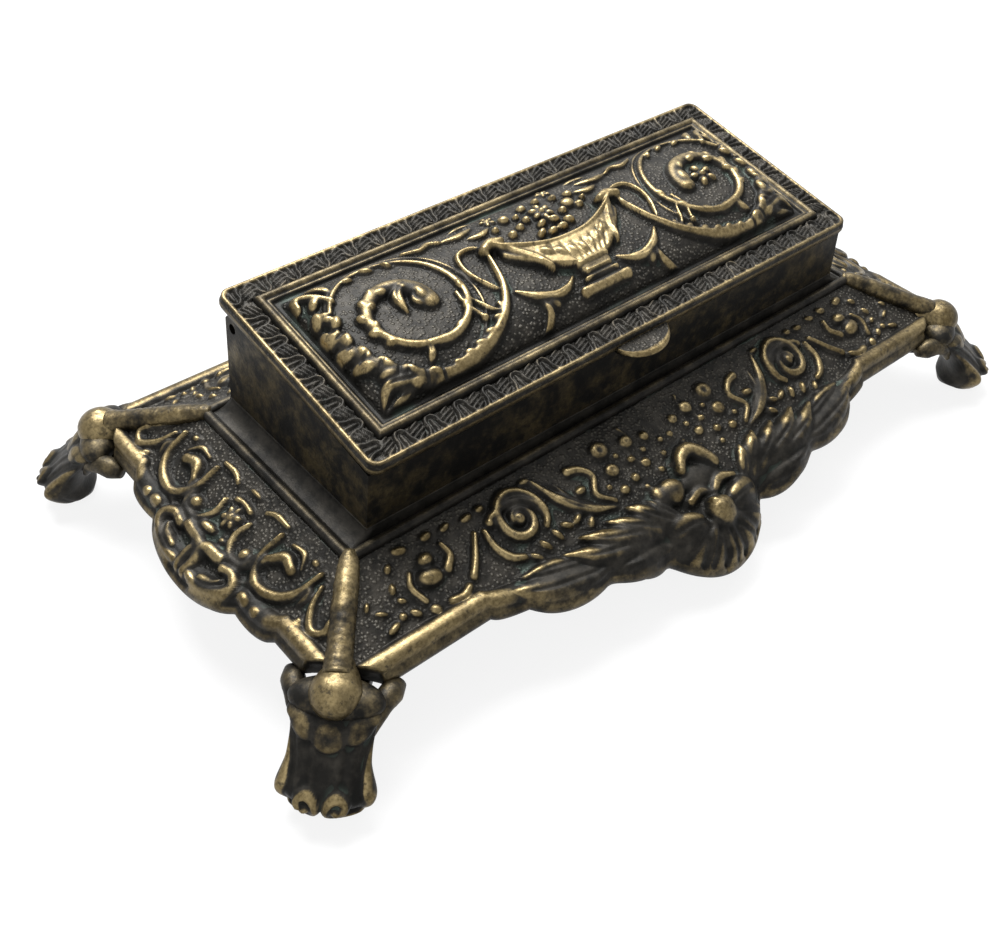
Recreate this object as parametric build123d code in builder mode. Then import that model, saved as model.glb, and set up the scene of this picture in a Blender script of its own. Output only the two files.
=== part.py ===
"""Desk inkwell in cast brass: a sloping-lidded casket for two ink pots on a flared, footed tray.

Millimetres. +Z is up, +X runs along the casket, and the thumb tab faces -Y. The origin is on the
table, under the middle of the tray.
"""
import os
from math import cos, radians, sin, tan

from build123d import *

os.makedirs("parts", exist_ok=True)

# ---- casket ---------------------------------------------------------------------------------
CASKET_LENGTH = 108.0  # outside, at the lid
CASKET_DEPTH = 39.4  # outside, front to back
CASKET_END_FLARE = 1.8  # each end wall leans out by this much at its foot
CASKET_WALL = 3.0
WALL_HEIGHT = 16.1  # from the tray to the lid's top, at mid depth
FLOOR_THICKNESS = 3.0
TUB_WALL = 1.6  # wall of the part that hangs inside the tray
TUB_DROP = 13.4  # from the tray's ledge down to the casket's underside

# ---- lid ------------------------------------------------------------------------------------
LID_OVERHANG_END = 1.0
LID_OVERHANG_SIDE = 1.3
LID_THICKNESS = 2.0
LID_SLOPE = 10.0  # degrees, rising to the hinge
LID_CORNER_RADIUS = 1.8
LID_EDGE_ROUND = 0.6
LID_SEAT_GAP = 0.1  # between the lid and the top of the walls
FRAME_MARGIN = 4.2  # from the lid's edge to the outside of its raised frame
FRAME_WIDTH = 1.9
FRAME_HEIGHT = 1.0
FRAME_ROUND = 0.7
DOME_MARGIN = 1.2  # channel between the raised frame and the dome
DOME_HEIGHT = 5.2
DOME_TAPER = 45.0  # degrees from upright
DOME_ROUND = 2.5
TAB_HALF_WIDTH = 5.8
TAB_REACH = 4.2
TAB_THICKNESS = 1.1

# ---- hinge ----------------------------------------------------------------------------------
BARREL_RADIUS = 2.3
BARREL_BULGE = 0.3  # the barrels stand out of the casket's back face by this much
BARREL_TOP_GAP = 0.2  # from the barrels up to the lid's underside
BARREL_CLEARANCE = 0.25  # round a barrel that turns in the wall's cut-out
PIN_RADIUS = 0.9
PIN_RUNNING_CLEARANCE = 0.05
PIN_FIXED_CLEARANCE = 0.02
PIN_RECESS = 0.3  # each end of the pin lies this far inside the wall's face
END_BARREL_LENGTH = 12.0
MIDDLE_BARREL_LENGTH = 26.0
BARREL_END_GAP = 0.25
WEB_STEP = 0.1  # the web that carries a lid barrel starts this far behind the barrel's front
WEB_BACK = 1.1  # and ends this far behind the axis

# ---- tray -----------------------------------------------------------------------------------
LEDGE_HEIGHT = 22.4  # height of the ledge that the plinth stands on, above the table
COVE_HEIGHT = 2.2  # from the ledge to where the casket's walls stand
LEDGE_END = 4.4  # width of the cove at the casket's ends
LEDGE_SIDE = 1.4  # width of the cove along its long sides
COVE_RISE = 0.5  # the cove's middle lies this far above its foot
BEAD_WIDTH = 1.8
BEAD_HEIGHT = 0.8
BEAD_ROUND = 0.5
SIDE_SLOPE = 23.1  # degrees, long panels
END_SLOPE = 25.9  # degrees, end panels
SKIN = 2.4  # thickness of the panels, measured straight down
END_PANEL_REACH = 15.3  # level, from the bead to the plain edge of an end panel
SIDE_PANEL_REACH = 18.2  # the same for a long panel
SPRAY_HALF_LENGTH = 46.0  # leaf spray that swells each long edge
SPRAY_SWELL = 7.6
FLOWER_RADIUS = 12.5  # hanging flower in the middle of each long edge
FLOWER_REACH = 11.6  # from the plain edge to the flower's tip
SHELL_HALF_LENGTH = 15.5  # lobe that swells each end edge
SHELL_SWELL = 4.2
LIP_WIDTH = 3.2
LIP_RISE = 1.0
LIP_DROP = 1.4
RIB_RADIUS = 2.1
TUB_CLEARANCE = 0.2

# ---- feet -----------------------------------------------------------------------------------
FOOT_REACH_X = 13.2  # from the bead's corner out to a foot's knuckle
FOOT_REACH_Y = 15.0
FOOT_TURN = 42.0  # degrees, the way a foot points, from X
FOOT_JOINT = -4.2  # the tray's corner is cut off here, measured outward from the knuckle
FOOT_JOINT_GAP = 0.1
LEG_BELOW_PANEL = 2.0  # top of the leg below the tray's corner rib
# Each section of the leg: share of the leg's height, distance out, half thickness, half width
FOOT_SECTIONS = [
    (0.0, 7.5, 2.6, 4.4),
    (0.1, 8.0, 3.8, 6.0),
    (0.28, 8.2, 4.0, 6.9),
    (0.53, 5.4, 3.0, 5.9),
    (0.79, 2.0, 3.0, 6.0),
    (1.0, -0.6, 4.2, 8.0),
]
KNUCKLE_RADIUS = 3.7
KNUCKLE_OUT = -0.6
LUG_DROP = 3.8  # from the top of the leg to the top of the lug
LUG_THICKNESS = 2.6
LUG_WIDTH = 7.0
LUG_REACH = 10.0  # from the screw to the middle of the lug's end inside the leg
FOOT_SCREW_OUT = -8.4
FOOT_BOSS_RADIUS = 3.2

# ---- base plate and screws ------------------------------------------------------------------
PLATE_THICKNESS = 1.5
PLATE_SIDE_MARGIN = 2.3  # the plate is this much narrower than the casket's tub on each side
PLATE_CORNER_RADIUS = 3.0
PLATE_END_MARGIN = 4.0  # beyond the middle of the posts that stand on it
POST_RADIUS = 3.0
POST_INSET_Y = 7.3  # from the tub's side to the middle of a post
POST_OUTSIDE = 5.2  # from the tub's end to the middle of a post
PLATE_SCREW_INSET_X = 10.6  # from the tub's end to the middle of a screw
PLATE_SCREW_INSET_Y = 8.3  # from the tub's side
SCREW_RADIUS = 1.2
SCREW_HEAD_RADIUS = 2.2
SCREW_HEAD_HEIGHT = 1.3
SCREW_CLEARANCE = 0.2
SCREW_FIT = 0.05  # a thread in its own tapped hole
SCREW_TIP_GAP = 0.3
SLOT_WIDTH = 0.6
SLOT_DEPTH = 0.6
PLATE_SCREW_GRIP = 2.2  # thread in the casket's floor
FOOT_SCREW_GRIP = 3.4  # thread in the tray's boss

# ---- inside the casket ----------------------------------------------------------------------
POT_SIZE = 31.0
POT_HEIGHT = 22.0
POT_WALL = 3.2
POT_BOTTOM = 3.0
POT_CORNER = 3.0
POT_WELL_CORNER = 3.5
POT_RIM_ROUND = 0.8
POT_CLEARANCE = 0.3
PARTITION_THICKNESS = 1.0
PARTITION_HEIGHT = 21.0
PARTITION_CLEARANCE = 0.1
PARTITION_DIP_HALF_WIDTH = 8.0
PARTITION_DIP_DEPTH = 4.0

# ---- worked out from the above --------------------------------------------------------------
CUT_SIZE = 20.0  # a cutting shape larger than the casket's wall
CORNERS = [(-1, -1), (1, -1), (-1, 1), (1, 1)]

PLINTH_TOP = LEDGE_HEIGHT + COVE_HEIGHT
LID_MID_HEIGHT = PLINTH_TOP + WALL_HEIGHT
INSIDE_LENGTH = CASKET_LENGTH - 2 * CASKET_WALL
INSIDE_DEPTH = CASKET_DEPTH - 2 * CASKET_WALL
TUB_BOTTOM = LEDGE_HEIGHT - TUB_DROP
FLOOR_TOP = TUB_BOTTOM + FLOOR_THICKNESS
TUB_LENGTH = INSIDE_LENGTH + 2 * TUB_WALL
TUB_DEPTH = INSIDE_DEPTH + 2 * TUB_WALL
FOOT_PRINT_LENGTH = CASKET_LENGTH + 2 * CASKET_END_FLARE

LID_LENGTH = CASKET_LENGTH + 2 * LID_OVERHANG_END
LID_DEPTH = (CASKET_DEPTH + 2 * LID_OVERHANG_SIDE) / cos(radians(LID_SLOPE))
FRAME_LENGTH = LID_LENGTH - 2 * FRAME_MARGIN
FRAME_DEPTH = LID_DEPTH - 2 * FRAME_MARGIN
DOME_LENGTH = FRAME_LENGTH - 2 * (FRAME_WIDTH + DOME_MARGIN)
DOME_DEPTH = FRAME_DEPTH - 2 * (FRAME_WIDTH + DOME_MARGIN)
lid_top = Plane(
    origin=(0, 0, LID_MID_HEIGHT),
    x_dir=(1, 0, 0),
    z_dir=(0, -sin(radians(LID_SLOPE)), cos(radians(LID_SLOPE))),
)
LID_NORMAL = Axis(lid_top.origin, lid_top.z_dir)

HINGE_DROP = BARREL_RADIUS + BARREL_TOP_GAP
HINGE_Y = CASKET_DEPTH / 2 - BARREL_RADIUS + BARREL_BULGE
HINGE_Z = LID_MID_HEIGHT + HINGE_Y * tan(radians(LID_SLOPE))
HINGE_Z -= (LID_THICKNESS + HINGE_DROP) / cos(radians(LID_SLOPE))
CASKET_TOP = LID_MID_HEIGHT + CASKET_DEPTH * tan(radians(LID_SLOPE))  # clear above the slope
WEB_FRONT = BARREL_RADIUS - WEB_STEP
WEB_HEIGHT = HINGE_DROP + LID_THICKNESS / 2
BARREL_ROOM = BARREL_RADIUS + BARREL_CLEARANCE
SIDE_BARREL_LENGTH = CASKET_LENGTH / 2 - END_BARREL_LENGTH - MIDDLE_BARREL_LENGTH / 2
SIDE_BARREL_START = MIDDLE_BARREL_LENGTH / 2
PIN_LENGTH = CASKET_LENGTH - 2 * PIN_RECESS

BEAD_LENGTH = FOOT_PRINT_LENGTH + 2 * LEDGE_END
BEAD_DEPTH = CASKET_DEPTH + 2 * LEDGE_SIDE
SPREAD_X = 2 * LEDGE_HEIGHT / tan(radians(END_SLOPE))
SPREAD_Y = 2 * LEDGE_HEIGHT / tan(radians(SIDE_SLOPE))
LEDGE_BOTTOM = LEDGE_HEIGHT - SKIN
TRAY_HALF_LENGTH = BEAD_LENGTH / 2 + END_PANEL_REACH
TRAY_HALF_DEPTH = BEAD_DEPTH / 2 + SIDE_PANEL_REACH

FOOT_X = BEAD_LENGTH / 2 + FOOT_REACH_X
FOOT_Y = BEAD_DEPTH / 2 + FOOT_REACH_Y
JOINT_FALL = (FOOT_REACH_Y + FOOT_JOINT * sin(radians(FOOT_TURN))) * tan(radians(SIDE_SLOPE))
LEG_TOP = LEDGE_HEIGHT - JOINT_FALL - LEG_BELOW_PANEL
LUG_TOP = LEG_TOP - LUG_DROP
LUG_HEIGHT = LUG_TOP - LUG_THICKNESS

POST_X = TUB_LENGTH / 2 + POST_OUTSIDE
POST_SPACING_Y = TUB_DEPTH - 2 * POST_INSET_Y
PLATE_LENGTH = 2 * (POST_X + PLATE_END_MARGIN)
PLATE_DEPTH = TUB_DEPTH - 2 * PLATE_SIDE_MARGIN
PLATE_SCREW_SPACING_X = TUB_LENGTH - 2 * PLATE_SCREW_INSET_X
PLATE_SCREW_SPACING_Y = TUB_DEPTH - 2 * PLATE_SCREW_INSET_Y
PLATE_BOTTOM = TUB_BOTTOM - PLATE_THICKNESS

POT_X = INSIDE_LENGTH / 2 - POT_CLEARANCE - POT_SIZE / 2
PARTITION_X = POT_X - POT_SIZE / 2 - POT_CLEARANCE - PARTITION_THICKNESS / 2


def foot_plane(side_x, side_y, height, out=0.0):
    """A level plane at a foot, its own X pointing outward and its origin `out` from the knuckle."""
    way_x = side_x * cos(radians(FOOT_TURN))
    way_y = side_y * sin(radians(FOOT_TURN))
    origin = (side_x * FOOT_X + out * way_x, side_y * FOOT_Y + out * way_y, height)
    return Plane(origin=origin, x_dir=(way_x, way_y, 0), z_dir=(0, 0, 1))


def barrel_plane(start_x, tilt=0.0):
    """The plane across the hinge axis at start_x, its own X pointing back and up by `tilt`."""
    back = (0, cos(radians(tilt)), sin(radians(tilt)))
    return Plane(origin=(start_x, HINGE_Y, HINGE_Z), x_dir=back, z_dir=(1, 0, 0))


# Where the lid's two barrels run
LID_BARREL_STARTS = [
    -SIDE_BARREL_START - SIDE_BARREL_LENGTH + BARREL_END_GAP,
    SIDE_BARREL_START + BARREL_END_GAP,
]
LID_BARREL_LENGTH = SIDE_BARREL_LENGTH - 2 * BARREL_END_GAP

# =============================================================================================
# Casket: walls on the plinth, and a tub below them that hangs inside the tray
# =============================================================================================
with BuildPart() as casket:
    with BuildSketch(Plane.XY.offset(PLINTH_TOP)):
        Rectangle(FOOT_PRINT_LENGTH, CASKET_DEPTH)
    with BuildSketch(Plane.XY.offset(CASKET_TOP)):
        Rectangle(CASKET_LENGTH, CASKET_DEPTH)
    loft()
    with BuildSketch(Plane.XY.offset(TUB_BOTTOM)):
        Rectangle(TUB_LENGTH, TUB_DEPTH)
    extrude(amount=PLINTH_TOP - TUB_BOTTOM)
    with BuildSketch(Plane.XY.offset(FLOOR_TOP)):
        Rectangle(INSIDE_LENGTH, INSIDE_DEPTH)
    extrude(amount=CASKET_TOP - FLOOR_TOP, mode=Mode.SUBTRACT)
    # The walls' top follows the lid
    split(bisect_by=lid_top.offset(-LID_THICKNESS - LID_SEAT_GAP), keep=Keep.BOTTOM)
    # Rounded back corner, about the hinge axis, so that the opening lid clears it
    with BuildSketch(barrel_plane(-CASKET_LENGTH)):
        Rectangle(CUT_SIZE, CUT_SIZE, align=(Align.MIN, Align.MIN))
        Circle(BARREL_RADIUS, mode=Mode.SUBTRACT)
    extrude(amount=2 * CASKET_LENGTH, mode=Mode.SUBTRACT)
    # Barrels at both ends and in the middle
    with BuildSketch(barrel_plane(-CASKET_LENGTH / 2)):
        Circle(BARREL_RADIUS)
    extrude(amount=END_BARREL_LENGTH)
    with BuildSketch(barrel_plane(CASKET_LENGTH / 2 - END_BARREL_LENGTH)):
        Circle(BARREL_RADIUS)
    extrude(amount=END_BARREL_LENGTH)
    with BuildSketch(barrel_plane(-MIDDLE_BARREL_LENGTH / 2)):
        Circle(BARREL_RADIUS)
    extrude(amount=MIDDLE_BARREL_LENGTH)
    # Room for the lid's barrels
    for start in LID_BARREL_STARTS:
        with BuildSketch(barrel_plane(start - BARREL_END_GAP)):
            Circle(BARREL_ROOM)
            Rectangle(2 * BARREL_ROOM, CUT_SIZE, align=(Align.CENTER, Align.MIN))
        extrude(amount=SIDE_BARREL_LENGTH, mode=Mode.SUBTRACT)
    with BuildSketch(barrel_plane(-CASKET_LENGTH)):
        Circle(PIN_RADIUS + PIN_FIXED_CLEARANCE)
    extrude(amount=2 * CASKET_LENGTH, mode=Mode.SUBTRACT)
    with BuildSketch(Plane.XY.offset(TUB_BOTTOM)):
        with GridLocations(PLATE_SCREW_SPACING_X, PLATE_SCREW_SPACING_Y, 2, 2):
            Circle(SCREW_RADIUS)
    extrude(amount=PLATE_SCREW_GRIP + SCREW_TIP_GAP, mode=Mode.SUBTRACT)
casket.part.label = "casket"
export_step(casket.part, "parts/casket.step")

# =============================================================================================
# Lid: sloping plate with a raised frame round a dome, thumb tab and two hinge barrels
# =============================================================================================
with BuildPart() as lid:
    with BuildSketch(lid_top):
        RectangleRounded(LID_LENGTH, LID_DEPTH, LID_CORNER_RADIUS)
    extrude(amount=-LID_THICKNESS)
    fillet(lid.faces().filter_by(lid_top).edges(), LID_EDGE_ROUND)
    with BuildSketch(lid_top):
        Rectangle(FRAME_LENGTH, FRAME_DEPTH)
        Rectangle(FRAME_LENGTH - 2 * FRAME_WIDTH, FRAME_DEPTH - 2 * FRAME_WIDTH, mode=Mode.SUBTRACT)
    extrude(amount=FRAME_HEIGHT)
    fillet(lid.faces().sort_by(LID_NORMAL)[-1].edges(), FRAME_ROUND)
    with BuildSketch(lid_top):
        Rectangle(DOME_LENGTH, DOME_DEPTH)
    extrude(amount=DOME_HEIGHT, taper=DOME_TAPER)
    fillet(lid.faces().sort_by(LID_NORMAL)[-1].edges(), DOME_ROUND)
    # The tab grows out of the lower half of the front edge
    with BuildSketch(lid_top.offset(-LID_THICKNESS)):
        with Locations((0, -LID_DEPTH / 2)):
            Ellipse(TAB_HALF_WIDTH, TAB_REACH)
            Rectangle(
                2 * TAB_HALF_WIDTH,
                TAB_REACH,
                align=(Align.CENTER, Align.MIN),
                mode=Mode.SUBTRACT,
            )
    extrude(amount=TAB_THICKNESS)
    # Barrels, each with a web that carries it
    for start in LID_BARREL_STARTS:
        with BuildSketch(barrel_plane(start)):
            Circle(BARREL_RADIUS)
        with BuildSketch(barrel_plane(start, LID_SLOPE)):
            with Locations((-WEB_FRONT, 0)):
                Rectangle(WEB_FRONT + WEB_BACK, WEB_HEIGHT, align=(Align.MIN, Align.MIN))
        extrude(amount=LID_BARREL_LENGTH)
        with BuildSketch(barrel_plane(start)):
            Circle(PIN_RADIUS + PIN_RUNNING_CLEARANCE)
        extrude(amount=LID_BARREL_LENGTH, mode=Mode.SUBTRACT)
lid.part.label = "lid"
export_step(lid.part, "parts/lid.step")

# =============================================================================================
# Hinge pin, through every barrel and both end walls
# =============================================================================================
with BuildPart() as hinge_pin:
    with BuildSketch(barrel_plane(-PIN_LENGTH / 2)):
        Circle(PIN_RADIUS)
    extrude(amount=PIN_LENGTH)
hinge_pin.part.label = "hinge_pin"
export_step(hinge_pin.part, "parts/hinge_pin.step")

# =============================================================================================
# Tray: four sloping panels with shaped edges, a coved plinth, corner ribs, posts and bosses
# =============================================================================================
with BuildSketch() as tray_outline:
    Rectangle(2 * TRAY_HALF_LENGTH, 2 * TRAY_HALF_DEPTH)
    for way in (-1, 1):
        long_edge = way * TRAY_HALF_DEPTH
        end_edge = way * TRAY_HALF_LENGTH
        with BuildLine():
            Line((-SPRAY_HALF_LENGTH, long_edge), (SPRAY_HALF_LENGTH, long_edge))
            ThreePointArc(
                (-SPRAY_HALF_LENGTH, long_edge),
                (0, long_edge + way * SPRAY_SWELL),
                (SPRAY_HALF_LENGTH, long_edge),
            )
        make_face()
        with BuildLine():
            Line((end_edge, -SHELL_HALF_LENGTH), (end_edge, SHELL_HALF_LENGTH))
            ThreePointArc(
                (end_edge, -SHELL_HALF_LENGTH),
                (end_edge + way * SHELL_SWELL, 0),
                (end_edge, SHELL_HALF_LENGTH),
            )
        make_face()
        with Locations((0, way * (TRAY_HALF_DEPTH + FLOWER_REACH - FLOWER_RADIUS))):
            Circle(FLOWER_RADIUS)
    for side_x, side_y in CORNERS:
        corner = foot_plane(side_x, side_y, 0, FOOT_JOINT)
        with Locations(Location(corner)):
            Rectangle(FOOT_X, FOOT_X, align=(Align.MIN, Align.CENTER), mode=Mode.SUBTRACT)


def panels(top, bottom=None):
    """The pyramid-like body under the panels' planes moved to `top`, hollowed from `bottom` down."""
    with BuildPart() as body:
        for height, spread in ((top, 0), (top - LEDGE_HEIGHT, 1)):
            with BuildSketch(Plane.XY.offset(height)):
                Rectangle(BEAD_LENGTH + spread * SPREAD_X, BEAD_DEPTH + spread * SPREAD_Y)
        loft()
        if bottom is not None:
            for height, spread in ((bottom, 0), (bottom - LEDGE_HEIGHT, 1)):
                with BuildSketch(Plane.XY.offset(height)):
                    Rectangle(BEAD_LENGTH + spread * SPREAD_X, BEAD_DEPTH + spread * SPREAD_Y)
            loft(mode=Mode.SUBTRACT)
    return body.part


# A thicker lip along the whole edge
with BuildPart() as tray_lip:
    with BuildSketch():
        add(tray_outline.sketch)
        offset(amount=-LIP_WIDTH, mode=Mode.SUBTRACT)
    extrude(amount=LEDGE_HEIGHT)
    add(panels(LEDGE_HEIGHT + LIP_RISE, LEDGE_BOTTOM - LIP_DROP), mode=Mode.INTERSECT)

# Half-round ribs down the four corners, stopping where the feet begin
with BuildPart() as tray_ribs:
    for side_x, side_y in CORNERS:
        fall = Vector(side_x / tan(radians(END_SLOPE)), side_y / tan(radians(SIDE_SLOPE)), -1)
        bead_corner = (side_x * BEAD_LENGTH / 2, side_y * BEAD_DEPTH / 2, LEDGE_HEIGHT)
        with BuildSketch(Plane(origin=bead_corner, z_dir=fall)):
            Circle(RIB_RADIUS)
        extrude(amount=FOOT_X - BEAD_LENGTH / 2 + FOOT_Y - BEAD_DEPTH / 2)
    add(tray_outline.sketch)
    extrude(amount=LEDGE_HEIGHT + RIB_RADIUS, mode=Mode.INTERSECT)

# Posts for the base plate, and bosses for the feet, cast under the panels
with BuildPart() as tray_bosses:
    with BuildSketch(Plane.XY.offset(TUB_BOTTOM)):
        with GridLocations(2 * POST_X, POST_SPACING_Y, 2, 2):
            Circle(POST_RADIUS)
    extrude(amount=LEDGE_HEIGHT - TUB_BOTTOM)
    for side_x, side_y in CORNERS:
        with BuildSketch(foot_plane(side_x, side_y, LUG_TOP, FOOT_SCREW_OUT)):
            Circle(FOOT_BOSS_RADIUS)
        extrude(amount=LEDGE_HEIGHT - LUG_TOP)
    add(panels(LEDGE_HEIGHT), mode=Mode.INTERSECT)

with BuildPart() as tray:
    add(tray_outline.sketch)
    extrude(amount=LEDGE_HEIGHT)
    add(panels(LEDGE_HEIGHT, LEDGE_BOTTOM), mode=Mode.INTERSECT)
    add(tray_lip.part)
    # Bead round the ledge
    with BuildSketch(Plane.XY.offset(LEDGE_BOTTOM)):
        Rectangle(BEAD_LENGTH + BEAD_WIDTH, BEAD_DEPTH + BEAD_WIDTH)
        Rectangle(BEAD_LENGTH - BEAD_WIDTH, BEAD_DEPTH - BEAD_WIDTH, mode=Mode.SUBTRACT)
    extrude(amount=SKIN + BEAD_HEIGHT)
    fillet(tray.faces().sort_by(Axis.Z)[-1].edges(), BEAD_ROUND)
    add(tray_ribs.part)
    add(tray_bosses.part)
    # Coved plinth up to the casket's walls
    with BuildSketch(Plane.XY.offset(LEDGE_HEIGHT)):
        Rectangle(BEAD_LENGTH, BEAD_DEPTH)
    with BuildSketch(Plane.XY.offset(LEDGE_HEIGHT + COVE_RISE)):
        Rectangle(FOOT_PRINT_LENGTH + LEDGE_END, CASKET_DEPTH + LEDGE_SIDE)
    with BuildSketch(Plane.XY.offset(PLINTH_TOP)):
        Rectangle(FOOT_PRINT_LENGTH, CASKET_DEPTH)
    loft(ruled=True)
    # Opening that the casket's tub hangs in
    with BuildSketch(Plane.XY.offset(LEDGE_BOTTOM)):
        Rectangle(TUB_LENGTH + 2 * TUB_CLEARANCE, TUB_DEPTH + 2 * TUB_CLEARANCE)
    extrude(amount=PLINTH_TOP - LEDGE_BOTTOM, mode=Mode.SUBTRACT)
    # Tapped holes for the feet's screws
    for side_x, side_y in CORNERS:
        with BuildSketch(foot_plane(side_x, side_y, LUG_TOP, FOOT_SCREW_OUT)):
            Circle(SCREW_RADIUS)
        extrude(amount=FOOT_SCREW_GRIP + SCREW_TIP_GAP, mode=Mode.SUBTRACT)
tray.part.label = "tray"
export_step(tray.part, "parts/tray.step")


# =============================================================================================
# Feet: a flared leg under a knuckle, with a lug that is screwed up into the tray
# =============================================================================================
def make_foot(name, side_x, side_y):
    """One foot, with its knuckle at the tray's corner on the given sides."""
    with BuildPart() as foot:
        for share, out, half_thickness, half_width in FOOT_SECTIONS:
            with BuildSketch(foot_plane(side_x, side_y, share * LEG_TOP, out)):
                Ellipse(half_thickness, half_width)
        loft()
        with Locations(foot_plane(side_x, side_y, LEG_TOP, KNUCKLE_OUT)):
            Sphere(KNUCKLE_RADIUS)
        # Flat against the tray's cut-off corner
        with BuildSketch(foot_plane(side_x, side_y, LUG_TOP, FOOT_JOINT + FOOT_JOINT_GAP)):
            Rectangle(FOOT_X, FOOT_X, align=(Align.MAX, Align.CENTER))
        extrude(amount=LEDGE_HEIGHT, mode=Mode.SUBTRACT)
        with BuildSketch(foot_plane(side_x, side_y, LUG_HEIGHT, FOOT_SCREW_OUT + LUG_REACH / 2)):
            SlotCenterToCenter(LUG_REACH, LUG_WIDTH)
        extrude(amount=LUG_THICKNESS)
        with BuildSketch(foot_plane(side_x, side_y, LUG_HEIGHT, FOOT_SCREW_OUT)):
            Circle(SCREW_RADIUS + SCREW_CLEARANCE)
        extrude(amount=LUG_THICKNESS, mode=Mode.SUBTRACT)
    foot.part.label = name
    export_step(foot.part, f"parts/{name}.step")


make_foot("foot_front_left", -1, -1)
make_foot("foot_front_right", 1, -1)
make_foot("foot_rear_left", -1, 1)
make_foot("foot_rear_right", 1, 1)


# =============================================================================================
# Slotted screws, each group in one node
# =============================================================================================
def make_screws(name, seats, length):
    """Screws that point up, their heads' upper faces on the planes in `seats`."""
    with BuildPart() as screws:
        for seat in seats:
            with BuildSketch(seat):
                Circle(SCREW_RADIUS - SCREW_FIT)
            extrude(amount=length)
            with BuildSketch(seat):
                Circle(SCREW_HEAD_RADIUS)
            extrude(amount=-SCREW_HEAD_HEIGHT)
            with BuildSketch(seat.offset(-SCREW_HEAD_HEIGHT)):
                Rectangle(2 * SCREW_HEAD_RADIUS, SLOT_WIDTH)
            extrude(amount=SLOT_DEPTH, mode=Mode.SUBTRACT)
    screws.part.label = name
    export_step(screws.part, f"parts/{name}.step")


foot_seats = [foot_plane(side_x, side_y, LUG_HEIGHT, FOOT_SCREW_OUT) for side_x, side_y in CORNERS]
make_screws("foot_screws", foot_seats, LUG_THICKNESS + FOOT_SCREW_GRIP)
plate_seats = [
    Plane.XY.offset(PLATE_BOTTOM).move(
        Location((side_x * PLATE_SCREW_SPACING_X / 2, side_y * PLATE_SCREW_SPACING_Y / 2, 0))
    )
    for side_x, side_y in CORNERS
]
make_screws("plate_screws", plate_seats, PLATE_THICKNESS + PLATE_SCREW_GRIP)

# =============================================================================================
# Base plate: bears on the tray's posts and is screwed to the casket, so it clamps the two
# =============================================================================================
with BuildPart() as base_plate:
    with BuildSketch(Plane.XY.offset(PLATE_BOTTOM)):
        RectangleRounded(PLATE_LENGTH, PLATE_DEPTH, PLATE_CORNER_RADIUS)
        with GridLocations(PLATE_SCREW_SPACING_X, PLATE_SCREW_SPACING_Y, 2, 2):
            Circle(SCREW_RADIUS + SCREW_CLEARANCE, mode=Mode.SUBTRACT)
    extrude(amount=PLATE_THICKNESS)
base_plate.part.label = "base_plate"
export_step(base_plate.part, "parts/base_plate.step")


# =============================================================================================
# Inside the casket: two glass pots, and the partitions that keep them at its ends
# =============================================================================================
def make_ink_pot(name, side_x):
    """A square glass pot with a rounded square well."""
    with BuildPart() as pot:
        with BuildSketch(Plane((side_x * POT_X, 0, FLOOR_TOP))):
            RectangleRounded(POT_SIZE, POT_SIZE, POT_CORNER)
        extrude(amount=POT_HEIGHT)
        with BuildSketch(Plane((side_x * POT_X, 0, FLOOR_TOP + POT_BOTTOM))):
            RectangleRounded(POT_SIZE - 2 * POT_WALL, POT_SIZE - 2 * POT_WALL, POT_WELL_CORNER)
        extrude(amount=POT_HEIGHT - POT_BOTTOM, mode=Mode.SUBTRACT)
        fillet(pot.faces().sort_by(Axis.Z)[-1].edges(), POT_RIM_ROUND)
    pot.part.label = name
    export_step(pot.part, f"parts/{name}.step")


def make_partition(name, side_x):
    """A sheet-brass partition across the casket, with a dip for fingers in its top edge."""
    with BuildPart() as partition:
        foot_of_sheet = (side_x * PARTITION_X, 0, FLOOR_TOP)
        with BuildSketch(Plane(origin=foot_of_sheet, x_dir=(0, 1, 0), z_dir=(1, 0, 0))):
            Rectangle(
                INSIDE_DEPTH - 2 * PARTITION_CLEARANCE,
                PARTITION_HEIGHT,
                align=(Align.CENTER, Align.MIN),
            )
            with Locations((0, PARTITION_HEIGHT)):
                Ellipse(PARTITION_DIP_HALF_WIDTH, PARTITION_DIP_DEPTH, mode=Mode.SUBTRACT)
        extrude(amount=PARTITION_THICKNESS / 2, both=True)
    partition.part.label = name
    export_step(partition.part, f"parts/{name}.step")


for side_name, side_x in (("left", -1), ("right", 1)):
    make_ink_pot(f"ink_pot_{side_name}", side_x)
    make_partition(f"partition_{side_name}", side_x)
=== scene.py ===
"""Looks of a cast-brass desk inkwell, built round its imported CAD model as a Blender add-on.

Sizes inside the script are millimetres unless a line says otherwise. Plans are drawn flat, as
heights over a rectangle, and are then laid on the lid, on the tray's panels and on the feet.
"""
from math import atan2, cos, pi, radians, sin, tan

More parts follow.
